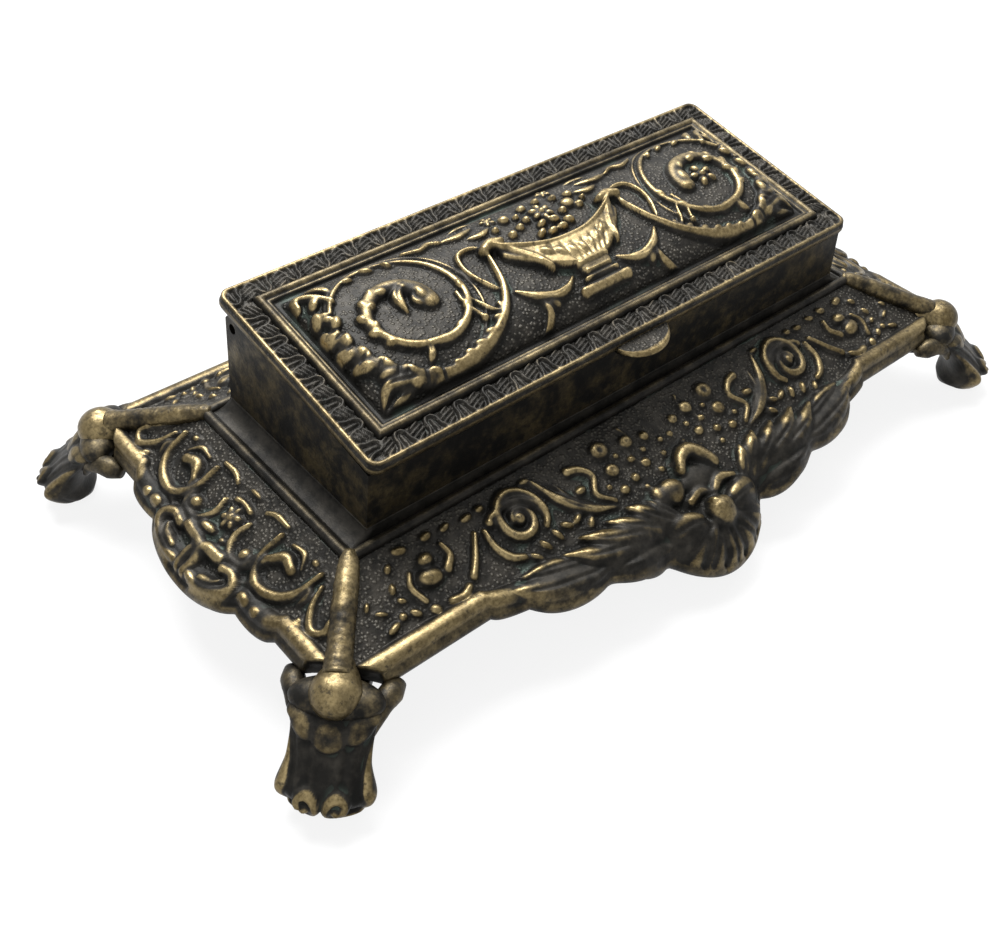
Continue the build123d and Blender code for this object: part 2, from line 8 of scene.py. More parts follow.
import bmesh
import bpy
import numpy as np
from bpy.props import FloatProperty, FloatVectorProperty, PointerProperty
from mathutils import Matrix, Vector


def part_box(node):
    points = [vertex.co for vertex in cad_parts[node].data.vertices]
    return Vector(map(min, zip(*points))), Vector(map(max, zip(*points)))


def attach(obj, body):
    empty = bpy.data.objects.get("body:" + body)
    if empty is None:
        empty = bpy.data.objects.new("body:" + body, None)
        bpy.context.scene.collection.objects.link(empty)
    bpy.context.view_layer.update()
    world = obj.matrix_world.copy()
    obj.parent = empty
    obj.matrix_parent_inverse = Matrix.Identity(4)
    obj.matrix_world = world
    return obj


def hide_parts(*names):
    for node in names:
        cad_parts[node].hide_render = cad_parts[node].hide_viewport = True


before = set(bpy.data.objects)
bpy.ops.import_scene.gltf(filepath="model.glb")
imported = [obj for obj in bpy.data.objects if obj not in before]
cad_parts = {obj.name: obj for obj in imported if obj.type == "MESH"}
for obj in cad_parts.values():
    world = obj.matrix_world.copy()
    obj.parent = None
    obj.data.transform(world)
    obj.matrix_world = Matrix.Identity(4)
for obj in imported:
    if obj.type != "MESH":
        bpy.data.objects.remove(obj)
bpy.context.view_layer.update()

bl_info = {
    "name": "Desk inkwell looks",
    "version": (1, 0, 0),
    "blender": (4, 5, 0),
    "location": "3D View > Sidebar > Inkwell",
    "description": "Cast ornament, patina, ink pots and a studio for a brass desk inkwell",
    "category": "Object",
}

# ---- shape of the casting, in millimetres ---------------------------------------------------
LID_SLOPE = radians(10)
LID_MID = 40.7
LID_HALF = (55.0, 21.33)
LID_CORNER = 1.8
TONGUE_RELIEF = 0.55
TAB_HALF, TAB_REACH = 5.8, 4.2
FRAME_OUT = (50.8, 17.1)
DOME_HALF = (47.8, 14.1)
BEAD_HALF = (60.2, 21.1)
BEAD_RADIUS = 0.9
LEDGE = 22.4
PLINTH_TOP = 24.6
CASKET_FOOT = (55.8, 19.7)
OPENING = (52.8, 18.5)
SKIN = 2.4
FALL_LONG = tan(radians(23.1))
FALL_END = tan(radians(25.9))
KNUCKLE = (73.4, 36.1)
FOOT_TURN = radians(42)
LEG_TOP = 15.2
# Sections of a leg: height, how far out its middle lies, half its thickness and half its width
LEG_SECTIONS = (
    (0.0, 5.4, 2.0, 2.6), (1.8, 6.7, 3.1, 5.0), (5.0, 7.8, 3.7, 6.9),
    (8.6, 5.4, 2.9, 5.9), (12.0, 2.0, 2.9, 6.2), (LEG_TOP, -0.6, 3.6, 7.2),
)
JOINT = (70.28, 33.29)
HINGE = (17.7, 39.25)
CORNERS = ((-1, -1), (1, -1), (-1, 1), (1, 1))
# How a tray panel's edge turns under: how far out, how far down, and how rubbed it is there
PANEL_ROLL = (
    (0.55, 0.5, 0.5), (0.75, 1.3, 0.45), (0.5, 2.1, 0.3), (-0.3, 2.7, 0.15), (-1.4, 2.9, 0.0),
    (-2.2, SKIN, 0.0),
)


# =============================================================================================
# Drawing in relief
# =============================================================================================
def smooth_line(points, step=0.12):
    """Points every `step` along a rounded line through the given ones."""
    p = np.array(points, float)
    if len(p) == 2:
        p = np.array([p[0], p.mean(0), p[1]])
    p = np.vstack([2 * p[0] - p[1], p, 2 * p[-1] - p[-2]])
    out = []
    for a, b, c, d in zip(p, p[1:], p[2:], p[3:]):
        count = max(2, int(np.hypot(*(c - b)[:2]) / step))
        t = np.linspace(0, 1, count, endpoint=False)[:, None]
        out.append(
            0.5 * (
                2 * b + (c - a) * t + (2 * a - 5 * b + 4 * c - d) * t**2 + (3 * b - a - 3 * c + d) * t**3
            )
        )
    return np.vstack(out + [p[-2][None]])


def soften(field, cells):
    """The field averaged over a moving square, twice."""
    for axis in (0, 1, 0, 1):
        field = np.moveaxis(field, axis, 0)
        padded = np.pad(field, [(cells + 1, cells), (0, 0)], mode="edge").cumsum(0)
        field = np.moveaxis((padded[2 * cells + 1 :] - padded[: -2 * cells - 1]) / (2 * cells + 1), 0, axis)
    return field


class Relief:
    """Heights over a flat rectangle, which lines, ovals and leaves are raised on."""

    def __init__(self, x0, x1, y0, y1, step, weight=1.0):
        self.weight = weight
        self.x0, self.y0, self.step = x0, y0, step
        self.x = np.arange(x0, x1 + step / 2, step)
        self.y = np.arange(y0, y1 + step / 2, step)
        self.high = np.zeros((len(self.y), len(self.x)))

    def _window(self, cx, cy, reach):
        i0 = max(0, int((cx - reach - self.x0) / self.step))
        i1 = max(0, int((cx + reach - self.x0) / self.step) + 2)
        j0 = max(0, int((cy - reach - self.y0) / self.step))
        j1 = max(0, int((cy + reach - self.y0) / self.step) + 2)
        return slice(j0, j1), slice(i0, i1)

    def oval(self, cx, cy, rx, ry, height, turn=0.0, full=0.5, cut=False):
        """One rounded oval; `full` below 0.5 has steeper sides and a flatter top."""
        rows, cols = self._window(cx, cy, max(rx, ry))
        dx, dy = self.x[cols][None] - cx, self.y[rows][:, None] - cy
        c, s = cos(turn), sin(turn)
        away = ((dx * c + dy * s) / rx) ** 2 + ((dy * c - dx * s) / ry) ** 2
        rise = height * np.clip(1 - away, 0, 1) ** full
        if cut:
            self.high[rows, cols] -= rise
        else:
            self.high[rows, cols] = np.maximum(self.high[rows, cols], rise)

    def line(self, points, radius, height, full=0.5, cut=False):
        """A rounded cord along the points. Radius and height may be lists, spread along it."""
        run = smooth_line(points, self.step)
        share = np.linspace(0, 1, len(run))
        radii = np.interp(share, np.linspace(0, 1, np.size(radius)), np.atleast_1d(radius))
        heights = np.interp(share, np.linspace(0, 1, np.size(height)), np.atleast_1d(height))
        kept = self.high
        if cut:
            self.high = np.zeros_like(kept)
        else:
            radii = radii * self.weight
        for (x, y), r, h in zip(run, radii, heights):
            self.oval(x, y, r, r, h, 0.0, full)
        if cut:
            self.high = kept - self.high

    def leaf(self, points, width, height, vein=0.35):
        """A leaf that swells along its line and ends in a point, with a vein cut down it."""
        self.line(
            points, [0.25, 0.8 * width, width, 0.75 * width, 0.2],
            [0.5 * height, height, height, 0.5 * height], 0.6,
        )
        if vein:
            self.line(points, [0.1, 0.16 * width + 0.08, 0.08], [0, vein, vein, 0.0], 1.0, cut=True)

    def fingers(self, points, count, length, width, height, side=1, lean=0.8):
        """Rounded lobes set along one side of a line, each leaning forward, as on an acanthus."""
        run = smooth_line(points, self.step)
        for k in range(count):
            i = int((k + 0.5) / count * (len(run) - 1))
            j = min(i + 3, len(run) - 1)
            i0 = max(j - 6, 0)
            way = atan2(run[j][1] - run[i0][1], run[j][0] - run[i0][0]) + side * lean
            size = 1 - 0.25 * abs(2 * (k + 0.5) / count - 1)
            x = run[i][0] + 0.55 * length * size * cos(way)
            y = run[i][1] + 0.55 * length * size * sin(way)
            self.oval(x, y, length * size * 0.75, width * size, height, way, 0.45)

    def scroll(self, centre, radii, start, sense, width, height, squash=1.0):
        """A spiral cord whose radius is given at each quarter turn. Returns its points."""
        turn = np.linspace(0, len(radii) - 1, 12 * len(radii))
        r = np.interp(turn, np.arange(len(radii)), radii)
        angle = start + sense * turn * pi / 2
        run = np.stack([centre[0] + squash * r * np.cos(angle), centre[1] + r * np.sin(angle)], 1)
        self.line(run, width, height)
        return run

    def flower(self, cx, cy, radius, petals, height, centre=0.3):
        """A rosette of rounded petals round a button."""
        for k in range(petals):
            a = 2 * pi * k / petals + 0.4
            self.oval(
                cx + 0.58 * radius * cos(a), cy + 0.58 * radius * sin(a), 0.42 * radius, 0.3 * radius,
                0.85 * height, a, 0.5,
            )
        self.oval(cx, cy, centre * radius, centre * radius, 1.15 * height, 0, 0.5)

    def mirror(self):
        """What is drawn on either side of x = 0 shows on both."""
        self.high = np.maximum(self.high, self.high[:, ::-1])

    def sample(self, field, x, y):
        """A field's value at each point, between its cells."""
        u = np.clip((x - self.x0) / self.step, 0, len(self.x) - 1.001)
        v = np.clip((y - self.y0) / self.step, 0, len(self.y) - 1.001)
        i, j = u.astype(int), v.astype(int)
        u, v = u - i, v - j
        top = field[j, i] * (1 - u) + field[j, i + 1] * u
        return top * (1 - v) + (field[j + 1, i] * (1 - u) + field[j + 1, i + 1] * u) * v

    def marks(self, reach=1.1, body=1.1):
        """Where hands rub the casting bright, where painted shadow lies on the ground round the raised
        parts, and where the ground is matted.
        """
        near = soften(self.high, max(1, int(reach / self.step)))
        rub = np.clip((self.high - near) / 0.45, 0, 1) * np.clip(self.high / 0.5, 0, 1)
        rub = np.maximum(rub, 0.62 * np.clip((self.high - body) / 0.6, 0, 1))
        # Painted shadow: how far the ground lies below the raised parts round it; the same mask also places
        # the verdigris.
        shade_and_verdigris = np.clip((near - self.high) / 0.42, 0, 1)
        return rub, shade_and_verdigris, (self.high < 0.12).astype(float)


# =============================================================================================
# Meshes
# =============================================================================================
def border(values):
    """The outermost values of a grid, in order round it."""
    return np.concatenate([values[0], values[1:, -1], values[-1, -2::-1], values[-2:0:-1, 0]])


class Shell:
    """Closed surfaces gathered into one object, in millimetres."""

    def __init__(self):
        self.points, self.faces, self.marks, self.count = [], [], [], 0

    def grid(self, points, marks=(0.0, 0.0, 0.0), wrap=False):
        """A sheet of quads. Returns the index of each of its points."""
        rows, cols = points.shape[:2]
        index = self.count + np.arange(rows * cols).reshape(rows, cols)
        right = np.roll(index, -1, 1) if wrap else index[:, 1:]
        left = index if wrap else index[:, :-1]
        quads = np.stack([left[:-1], right[:-1], right[1:], left[1:]], -1)
        self.points.append(points.reshape(-1, 3))
        self.marks.append(np.stack([np.broadcast_to(m, (rows, cols)).ravel() for m in marks], 1))
        self.faces += quads.reshape(-1, 4).tolist()
        self.count += rows * cols
        return index

    def cap(self, loop):
        self.faces.append([int(i) for i in loop])

    def bridge(self, first, second, closed=True):
        """Quads between two rows of as many points."""
        if closed:
            first, second = np.append(first, first[0]), np.append(second, second[0])
        rows = zip(first, first[1:], second[1:], second)
        self.faces += [[int(i) for i in corners] for corners in rows]

    def cap_both(self, index):
        self.cap(index[0][::-1])
        self.cap(index[-1])

    def tube(self, points, radii, around=20, marks=(0.6, 0.0, 0.0), flat=1.0):
        """A round bar along 3-D points, closed at both ends."""
        p = np.array(points, float)
        r = np.interp(np.linspace(0, 1, len(p)), np.linspace(0, 1, np.size(radii)), np.atleast_1d(radii))
        way = np.gradient(p, axis=0)
        way /= np.linalg.norm(way, axis=1)[:, None]
        side = np.cross(way, (0, 0, 1.0))
        side /= np.linalg.norm(side, axis=1)[:, None] + 1e-9
        up = np.cross(side, way)
        a = np.linspace(0, 2 * pi, around, endpoint=False)[None, :, None]
        ring = p[:, None] + r[:, None, None] * (np.cos(a) * side[:, None] + flat * np.sin(a) * up[:, None])
        index = self.grid(ring, marks, wrap=True)
        self.cap_both(index)
        return index

    def ball(self, centre, axes, marks=(0.7, 0.0, 0.0), rows=14, cols=24, shape=None):
        """An egg with the three half axes given as vectors; `shape` may move its points."""
        v = np.linspace(-pi / 2, pi / 2, rows)[1:-1, None]
        u = np.linspace(0, 2 * pi, cols, endpoint=False)[None]
        unit = np.stack([np.cos(v) * np.cos(u), np.cos(v) * np.sin(u), np.sin(v) + 0 * u], -1)
        if shape:
            unit = shape(unit)
        index = self.grid(np.array(centre, float) + unit @ np.array(axes, float), marks, wrap=True)
        self.cap_both(index)

    def ring(self, profile, rub, cuts=60):
        """A closed outline of (half length, half depth, height) carried round a rectangle."""
        profile = np.array(profile, float)
        corners = np.array([(-1, -1), (1, -1), (1, 1), (-1, 1)], float)
        around = np.concatenate(
            [np.linspace(a, b, cuts, endpoint=False) for a, b in zip(corners, np.roll(corners, -1, 0))]
        )
        points = np.empty((len(profile) + 1, len(around), 3))
        closed = np.vstack([profile, profile[:1]])
        points[..., :2] = around[None] * closed[:, None, :2]
        points[..., 2] = closed[:, None, 2]
        self.grid(points, (np.append(rub, rub[0])[:, None], 0.0, 0.0), wrap=True)

    def build(self, name, material, body, replaces=()):
        """Makes the object, which rides on a body of the frame."""
        points = np.vstack(self.points)
        mesh = bpy.data.meshes.new(name)
        mesh.from_pydata((points / 1000).tolist(), [], self.faces)
        made = np.vstack(self.marks)
        for k, mark in enumerate(("rub", "shade_and_verdigris", "matt")):
            values = np.ascontiguousarray(made[:, k], np.float32)
            mesh.attributes.new(mark, "FLOAT", "POINT").data.foreach_set("value", values)
        work = bmesh.new()
        work.from_mesh(mesh)
        bmesh.ops.remove_doubles(work, verts=work.verts, dist=1e-7)
        bmesh.ops.recalc_face_normals(work, faces=work.faces)
        work.to_mesh(mesh)
        work.free()
        mesh.polygons.foreach_set("use_smooth", [len(f.vertices) < 30 for f in mesh.polygons])
        mesh.materials.append(material)
        thing = bpy.data.objects.new(name, mesh)
        bpy.context.scene.collection.objects.link(thing)
        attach(thing, body)
        if replaces:
            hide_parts(*replaces)
        return thing


# =============================================================================================
# Materials
# =============================================================================================
class Wire:
    """A shader socket that takes part in arithmetic, each step adding a Math node."""

    def __init__(self, tree, out):
        self.tree, self.out = tree, out

    def _math(self, operation, *values):
        return self.tree.add("ShaderNodeMath", {"operation": operation}, dict(enumerate(values)))

    def __add__(self, other):
        return self._math("ADD", self, other)

    __radd__ = __add__

    def __sub__(self, other):
        return self._math("SUBTRACT", self, other)

    def __rsub__(self, other):
        return self._math("SUBTRACT", other, self)

    def __mul__(self, other):
        return self._math("MULTIPLY", self, other)

    __rmul__ = __mul__

    def most(self, other):
        return self._math("MAXIMUM", self, other)

    def between(self, low, high):
        """0 below low, 1 above high and smooth between them."""
        return self.tree.add(
            "ShaderNodeMapRange",
            {"interpolation_type": "SMOOTHSTEP"},
            {"Value": self, "From Min": low, "From Max": high},
        )


class Finish:
    """The node tree of one material or of the world."""

    def __init__(self, owner):
        owner.use_nodes = True
        self.nodes, self.links = owner.node_tree.nodes, owner.node_tree.links
        self.nodes.clear()

    def add(self, kind, settings=(), sockets=(), out=0):
        """Any node: its settings first, then its sockets' values or links."""
        made = self.nodes.new(kind)
        for name, value in dict(settings).items():
            setattr(made, name, value)
        for key, value in dict(sockets).items():
            if isinstance(value, Wire):
                self.links.new(value.out, made.inputs[key])
            else:
                made.inputs[key].default_value = value
        return Wire(self, made.outputs[out])

    def mix(self, share, first, second):
        return self.add("ShaderNodeMix", {"data_type": "RGBA"}, {0: share, 6: first, 7: second}, out=2)

    def mark(self, name):
        return self.add("ShaderNodeAttribute", {"attribute_name": name}, out=2)

    def place(self):
        return self.add("ShaderNodeTexCoord", out=3)

    def noise(self, place, scale, detail=4.0, rough=0.55):
        return self.add(
            "ShaderNodeTexNoise", {},
            {"Vector": place, "Scale": scale, "Detail": detail, "Roughness": rough},
        )

    def end(self, shader, kind="ShaderNodeOutputMaterial"):
        self.links.new(shader.out, self.nodes.new(kind).inputs[0])

    def seen(self):
        """1 where a camera, glossy or transmission ray looks, so that metal and glass show it too."""
        ray = self.add("ShaderNodeLightPath")
        ends = ray.out.node.outputs
        return ray.most(Wire(self, ends["Is Glossy Ray"])).most(Wire(self, ends["Is Transmission Ray"]))


def rgba(colour):
    return (*colour, 1.0)


def cast_brass(name, look, bright=0.0, matted=1.0, mottle=0.5, gold=1.0, tone=1.0):
    """Brass under a dark patina, rubbed bright on its high places, with painted shadow in its hollows."""
    made = bpy.data.materials.new(name)
    tree = Finish(made)
    place = tree.place()
    broad = tree.noise(place, 75.0, 5.0, 0.6)
    blotch = tree.noise(place, 330.0, 5.0, 0.65)
    fine = tree.noise(place, 1700.0, 3.0, 0.6)
    dots = tree.add(
        "ShaderNodeTexVoronoi",
        {"feature": "SMOOTH_F1"},
        {"Vector": place, "Scale": 1.0 / look.dot_pitch, "Smoothness": 0.35, "Randomness": 0.9},
    )
    matt = tree.mark("matt") * matted
    dot = (1.0 - dots.between(0.1, 0.55)) * matt
    rub = tree.mark("rub")
    worn = (rub + bright + (blotch - 0.5) * mottle + (broad - 0.5) * 0.5 * mottle).between(0.22, 0.8)
    specks = tree.noise(place, 900.0, 6.0, 0.7).between(0.52, 0.68)
    worn = worn * (1.0 - 0.75 * specks) * look.wear
    shade_and_verdigris = tree.mark("shade_and_verdigris")
    # tone scales the patina down; on the casket it is painted shade for the walls under the lid.
    dark = tree.mix(
        blotch.between(0.35, 0.7), rgba([tone * c for c in look.patina_dark]),
        rgba([tone * c for c in look.patina]),
    )
    # gold scales the brass; the lid's higher value is partly a painted highlight for its lit top.
    brass = tree.mix(
        (broad * 0.6 + fine * 0.4).between(0.35, 0.68),
        rgba([gold * c for c in look.brass_dull]),
        rgba([gold * c for c in look.brass]),
    )
    colour = tree.mix(dot * 0.3, dark, rgba(look.ground))
    colour = tree.mix(worn, colour, brass)
    # Painted shadow: near-black mixed in where the ground lies below the raised parts round it.
    colour = tree.mix(shade_and_verdigris.between(0.1, 0.9) * 0.8, colour, rgba(look.hollow_shadow))
    green = (tree.noise(place, 120.0, 2.0) * shade_and_verdigris.between(0.15, 0.7)).between(0.5, 0.72)
    colour = tree.mix(green * 0.35, colour, rgba(look.verdigris))
    lift = dot * 0.9 + fine * 0.28 + blotch * 0.5
    bump = tree.add("ShaderNodeBump", {}, {"Strength": 0.8, "Distance": 0.00018, "Height": lift})
    shader = tree.add(
        "ShaderNodeBsdfPrincipled",
        {},
        {
            "Base Color": colour,
            "Metallic": 0.6 + 0.38 * worn,
            "Roughness": 0.44 - 0.15 * worn + 0.12 * fine,
            "Specular IOR Level": 0.2,
            "Normal": bump,
        },
    )
    tree.end(shader)
    return made


# =============================================================================================
# What a user may change
# =============================================================================================
def length_property(name, default, description):
    return FloatProperty(name=name, default=default, min=0.0, unit="LENGTH", description=description)


def colour_property(name, default, description):
    return FloatVectorProperty(
        name=name, default=default, size=3, min=0.0, max=1.0, subtype="COLOR", description=description,
    )


class InkwellSizes(bpy.types.PropertyGroup):
    """Sizes of the ornament, in metres."""

    lid_step: length_property("Lid detail", 0.00022, "Spacing of the mesh on the lid's panel")
    tray_step: length_property("Tray detail", 0.0003, "Spacing of the mesh on the tray's panels")
    dome: length_property("Dome height", 0.0040, "Height of the lid's domed panel above its border")
    vase_relief: length_property("Vase relief", 0.0017, "How far the vase stands out of the dome")
    scroll_relief: length_property("Scroll relief", 0.0013, "How far the scrolls stand out of the dome")
    tray_relief: length_property("Tray relief", 0.0011, "How far the tray's ornament stands out")
    ink_level: length_property("Ink level", 0.009, "Depth of the ink in each pot")


class InkwellLook(bpy.types.PropertyGroup):
    """Colours and wear."""

    dot_pitch: length_property("Dot pitch", 0.00068, "Spacing of the punched dots on the ground")
    wear: FloatProperty(
        name="Wear", default=0.95, min=0.0, max=1.0, subtype="FACTOR",
        description="How far the patina is rubbed off the high places",
    )
    patina_dark: colour_property("Dark patina", (0.006, 0.0055, 0.0045), "Darkest tone of the patina")
    patina: colour_property("Patina", (0.024, 0.0215, 0.0175), "Lighter tone of the patina")
    ground: colour_property("Ground", (0.13, 0.12, 0.10), "Tops of the punched dots")
    brass_dull: colour_property("Dull brass", (0.12, 0.088, 0.04), "Tarnished brass on the high places")
    brass: colour_property("Brass", (0.38, 0.295, 0.15), "Brass rubbed bright")
    # Colour of the painted shadow in the hollows and round the raised ornament.
    hollow_shadow: colour_property("Hollow shadow", (0.003, 0.003, 0.0025), "Painted shadow in the hollows")
    verdigris: colour_property("Verdigris", (0.06, 0.085, 0.07), "Green bloom in a few hollows")
    plain_brass: colour_property("Plain brass", (0.50, 0.37, 0.17), "Sheet and turned brass")
    glass: colour_property("Glass", (0.86, 0.93, 0.90), "Tint of the ink pots")
    ink: colour_property("Ink", (0.006, 0.008, 0.02), "Ink in the pots")
    floor: colour_property("Floor", (0.86, 0.86, 0.86), "The studio's floor and backdrop")


def user_settings(context):
    return context.scene.inkwell_sizes, context.scene.inkwell_look


# =============================================================================================
# Ornament of the lid
# =============================================================================================
def draw_lid(sizes):
    """The scrolls, the vase and its flowers, over the lid's panel."""
    r = Relief(-51, 51, -17.4, 17.4, 0.12)
    s, v = sizes.scroll_relief * 1000, sizes.vase_relief * 1000
    # Right half, then mirrored: great scroll
    middle = (33.8, -0.6)
    run = r.scroll(
        middle,
        (13.0, 12.5, 12.2, 11.1, 7.7, 7.2, 5.6, 4.3),
        -pi / 2,
        1,
        [1.3, 1.6, 1.35, 0.55, 0.5, 0.55, 0.65, 0.85, 0.9, 0.95, 1.05, 1.5, 2.0],
        [s, s, s, 0.7 * s, 0.6 * s, 0.7 * s, s, s, s, 1.1 * s],
        0.97,
    )
    third = len(run) // 8
    r.fingers(run[: int(1.6 * third)], 7, 3.0, 1.35, 1.15 * s, -1, 0.5)
    r.fingers(run[: int(1.5 * third)], 6, 2.9, 1.25, 1.2 * s, 1, 0.45)
    r.fingers(run[int(1.9 * third) : int(2.7 * third)], 3, 2.0, 0.8, 0.9 * s, 1, 0.7)
    r.fingers(run[int(3.2 * third) : int(4.6 * third)], 4, 2.2, 0.75, 0.95 * s, 1, 0.4)
    r.fingers(run[int(5.0 * third) : int(6.6 * third)], 5, 2.1, 1.0, 1.1 * s, -1, 0.5)
    r.fingers(run[int(5.4 * third) :], 5, 2.2, 1.05, 1.2 * s, 1, 0.6)
    r.oval(30.2, 1.0, 1.5, 2.6, 1.35 * s, -0.1, 0.5)
    for k in range(10):
        x, y = run[int((0.12 + 0.15 * k) * third)]
        way = atan2(y - middle[1], x - middle[0])
        r.line(
            [
                (x - 1.5 * cos(way - 0.5), y - 1.5 * sin(way - 0.5)),
                (x + 1.6 * cos(way + 0.4), y + 1.6 * sin(way + 0.4)),
            ],
            [0.12, 0.28, 0.12], 0.5, 1.0, cut=True,
        )
    # Thin second line outside the top of the scroll
    r.scroll(middle, (13.2, 13.1, 12.9, 12.4), 0.55, 1, [0.25, 0.35, 0.3, 0.2], 0.5 * s, 0.97)
    # Stem from the vase's lip, and the ribbon loop beside it
    r.line(
        [(14.9, 3.0), (15.6, 0.0), (17.2, -4.4), (20.6, -8.9), (26.0, -12.0), (33.0, -13.4)],
        [0.55, 0.75, 0.95, 1.15, 1.3], s,
    )
    r.fingers([(20.0, -8.4), (26.0, -12.0), (33.0, -13.4)], 5, 2.2, 0.9, 0.95 * s, 1, 0.6)
    r.line(
        [(14.4, 4.2), (16.6, 5.6), (19.2, 5.2), (20.4, 2.6), (20.1, -0.6), (18.4, -4.4)],
        [0.35, 0.55, 0.6, 0.55, 0.35], 0.85 * s,
    )
    # Tendrils that curl below the loop, and the bud under the inner turn
    r.line([(24.8, -1.4), (25.2, -4.4), (24.2, -7.6)], [0.3, 0.5, 0.4], 0.8 * s)
    r.line([(23.6, -4.0), (22.0, -7.2), (20.8, -8.2), (20.2, -6.9)], [0.25, 0.45, 0.55], 0.8 * s)
    r.oval(24.0, -8.2, 0.8, 0.7, s, 0, 0.5)
    r.leaf([(35.2, -7.2), (35.6, -9.4), (37.0, -11.0)], 0.9, 0.9 * s)
    # Leaves at the outer side and at the corners
    for x, y, turn, size in (
        (46.6, -2.5, 1.1, 2.0), (47.0, 1.6, 1.5, 2.1), (46.4, 5.6, 1.9, 1.9), (44.9, 9.0, 2.2, 1.8),
    ):
        r.oval(x, y, size, 1.0, s, turn, 0.45)
    r.line([(42.6, 7.4), (44.6, 10.6), (46.6, 11.8), (47.3, 10.0)], [0.6, 0.8, 0.9, 0.9], s)
    r.leaf([(41.4, 8.8), (42.2, 11.2), (44.2, 12.9)], 0.9, 0.9 * s)
    r.leaf([(37.6, -12.9), (42.2, -11.6), (45.2, -11.2), (47.6, -13.6)], 1.35, 1.1 * s)
    r.leaf([(40.0, -12.6), (44.0, -13.4), (47.0, -13.9)], 0.7, 0.7 * s)
    r.line([(26.4, 11.2), (23.4, 10.2), (21.2, 10.9), (19.2, 9.9)], [0.3, 0.7, 0.8, 0.3], 0.8 * s)
    # Crescent leaf under the vase and its tail
    r.leaf([(16.2, -6.0), (13.6, -8.6), (10.4, -10.0), (7.4, -9.6), (4.9, -8.0)], 1.15, 1.05 * s, 0.3)
    r.leaf([(13.2, -9.0), (13.0, -11.8), (14.4, -13.6), (16.0, -14.2)], 0.9, 0.9 * s, 0.25)
    r.oval(11.4, -10.9, 1.5, 1.1, 0.8 * s, 0.6, 0.5)
    # Garland leaves from the flowers
    r.leaf([(9.6, 8.6), (12.4, 7.6), (15.0, 8.2)], 0.8, 0.8 * s)
    r.leaf([(12.0, 10.6), (15.6, 9.6), (19.6, 10.2)], 0.85, 0.8 * s)
    r.leaf([(10.6, 12.0), (13.4, 12.3), (16.4, 11.6)], 0.6, 0.6 * s)
    r.mirror()
    # Rosette in the right scroll, small leaf in the left one
    r.flower(middle[0] + 0.6, middle[1] + 0.4, 3.0, 5, 1.15 * s, 0.28)
    r.leaf([(-30.5, 4.6), (-33.6, 2.6), (-34.2, -1.4)], 1.3, 1.1 * s)
    r.leaf([(-30.0, 2.6), (-31.6, 0.4), (-30.4, -2.0)], 0.9, 1.0 * s)
    # Vase: bowl with a lip, gadroons, neck and foot
    for x in np.arange(-12.4, 12.41, 0.3):
        brim = 3.3 - 4.4 * (1 - (x / 12.6) ** 2) ** 0.9
        low = min(-7.1 + 8.2 * (abs(x) / 12.6) ** 1.9, brim - 0.4)
        r.line([(x, brim), (x, low)], 0.75, v * (1.12 - 0.4 * (x / 12.6) ** 2), 0.3)
    for k in range(-3, 4):
        r.oval(2.1 * k, -4.6 + 0.24 * k * k, 1.15, 2.2, v * 1.4, -0.22 * k, 0.45)
        r.line([(2.1 * k + 1.05, -2.9 + 0.2 * k * k), (1.1 * k + 0.6, -6.4)], 0.22, 0.4, 1.0, cut=True)
    r.line(
        [(-13.4, 3.4), (-8.8, 0.9), (-4.2, -0.75), (0, -1.1), (4.2, -0.75), (8.8, 0.9), (13.4, 3.4)],
        0.55, v * 1.32,
    )
    for side in (-1, 1):
        r.line(
            [(side * 15.2, 3.3), (side * 13.4, 4.1), (side * 11.4, 3.7)], [1.0, 1.35, 0.9], v * 1.35,
            0.4,
        )
        r.line(
            [(side * 12.4, 2.6), (side * 10.6, 0.4), (side * 8.6, -2.6), (side * 7.4, -5.6)],
            [0.7, 1.0, 1.2, 0.5], v * 1.2,
        )
        r.line([(side * 12.0, 1.9), (side * 10.2, -0.4), (side * 8.4, -3.2)], 0.2, 0.35, 1.0, cut=True)
    r.line([(-2.4, -8.2), (2.4, -8.2)], 1.1, v * 0.9, 0.35)
    r.line([(-3.2, -7.3), (3.2, -7.3)], 0.5, v * 1.15)
    r.line([(-2.6, -9.0), (2.6, -9.0)], 0.45, v * 1.1)
    r.line([(-3.4, -10.0), (3.4, -10.0)], 0.6, v * 0.85)
    r.line([(-4.9, -11.6), (4.9, -11.6)], 0.95, v * 0.75, 0.3)
    # Flowers, fruit and leaves over the vase
    for x, y, turn in (
        (-3.0, 2.4, 0.5), (-0.9, 1.9, 0.1), (1.4, 2.0, -0.2), (3.6, 2.8, -0.6), (-1.4, 4.3, 0.4),
        (1.3, 4.2, -0.4),
    ):
        r.oval(x, y, 1.25, 0.75, v * 0.85, turn, 0.45)
    for x, y, size in (
        (-7.6, 4.7, 1.0), (-5.2, 5.6, 0.9), (-3.0, 6.6, 0.9), (4.4, 5.4, 0.95), (6.6, 6.6, 1.5),
        (8.2, 5.2, 1.0), (-6.2, 8.9, 1.2), (-1.4, 9.8, 1.0), (2.2, 10.2, 0.9), (8.4, 8.6, 1.1),
        (5.4, 9.2, 0.9), (-9.4, 7.2, 0.8), (-4.0, 8.2, 0.7), (10.0, 6.4, 0.7),
    ):
        r.oval(x, y, size, size * 0.9, 0.75 * v, 0, 0.5)
    r.flower(0.7, 6.9, 2.5, 6, 0.8 * v)
    r.flower(-8.6, 10.4, 1.7, 5, 0.55 * v)
    r.flower(5.6, 12.0, 1.6, 5, 0.55 * v)
    return r


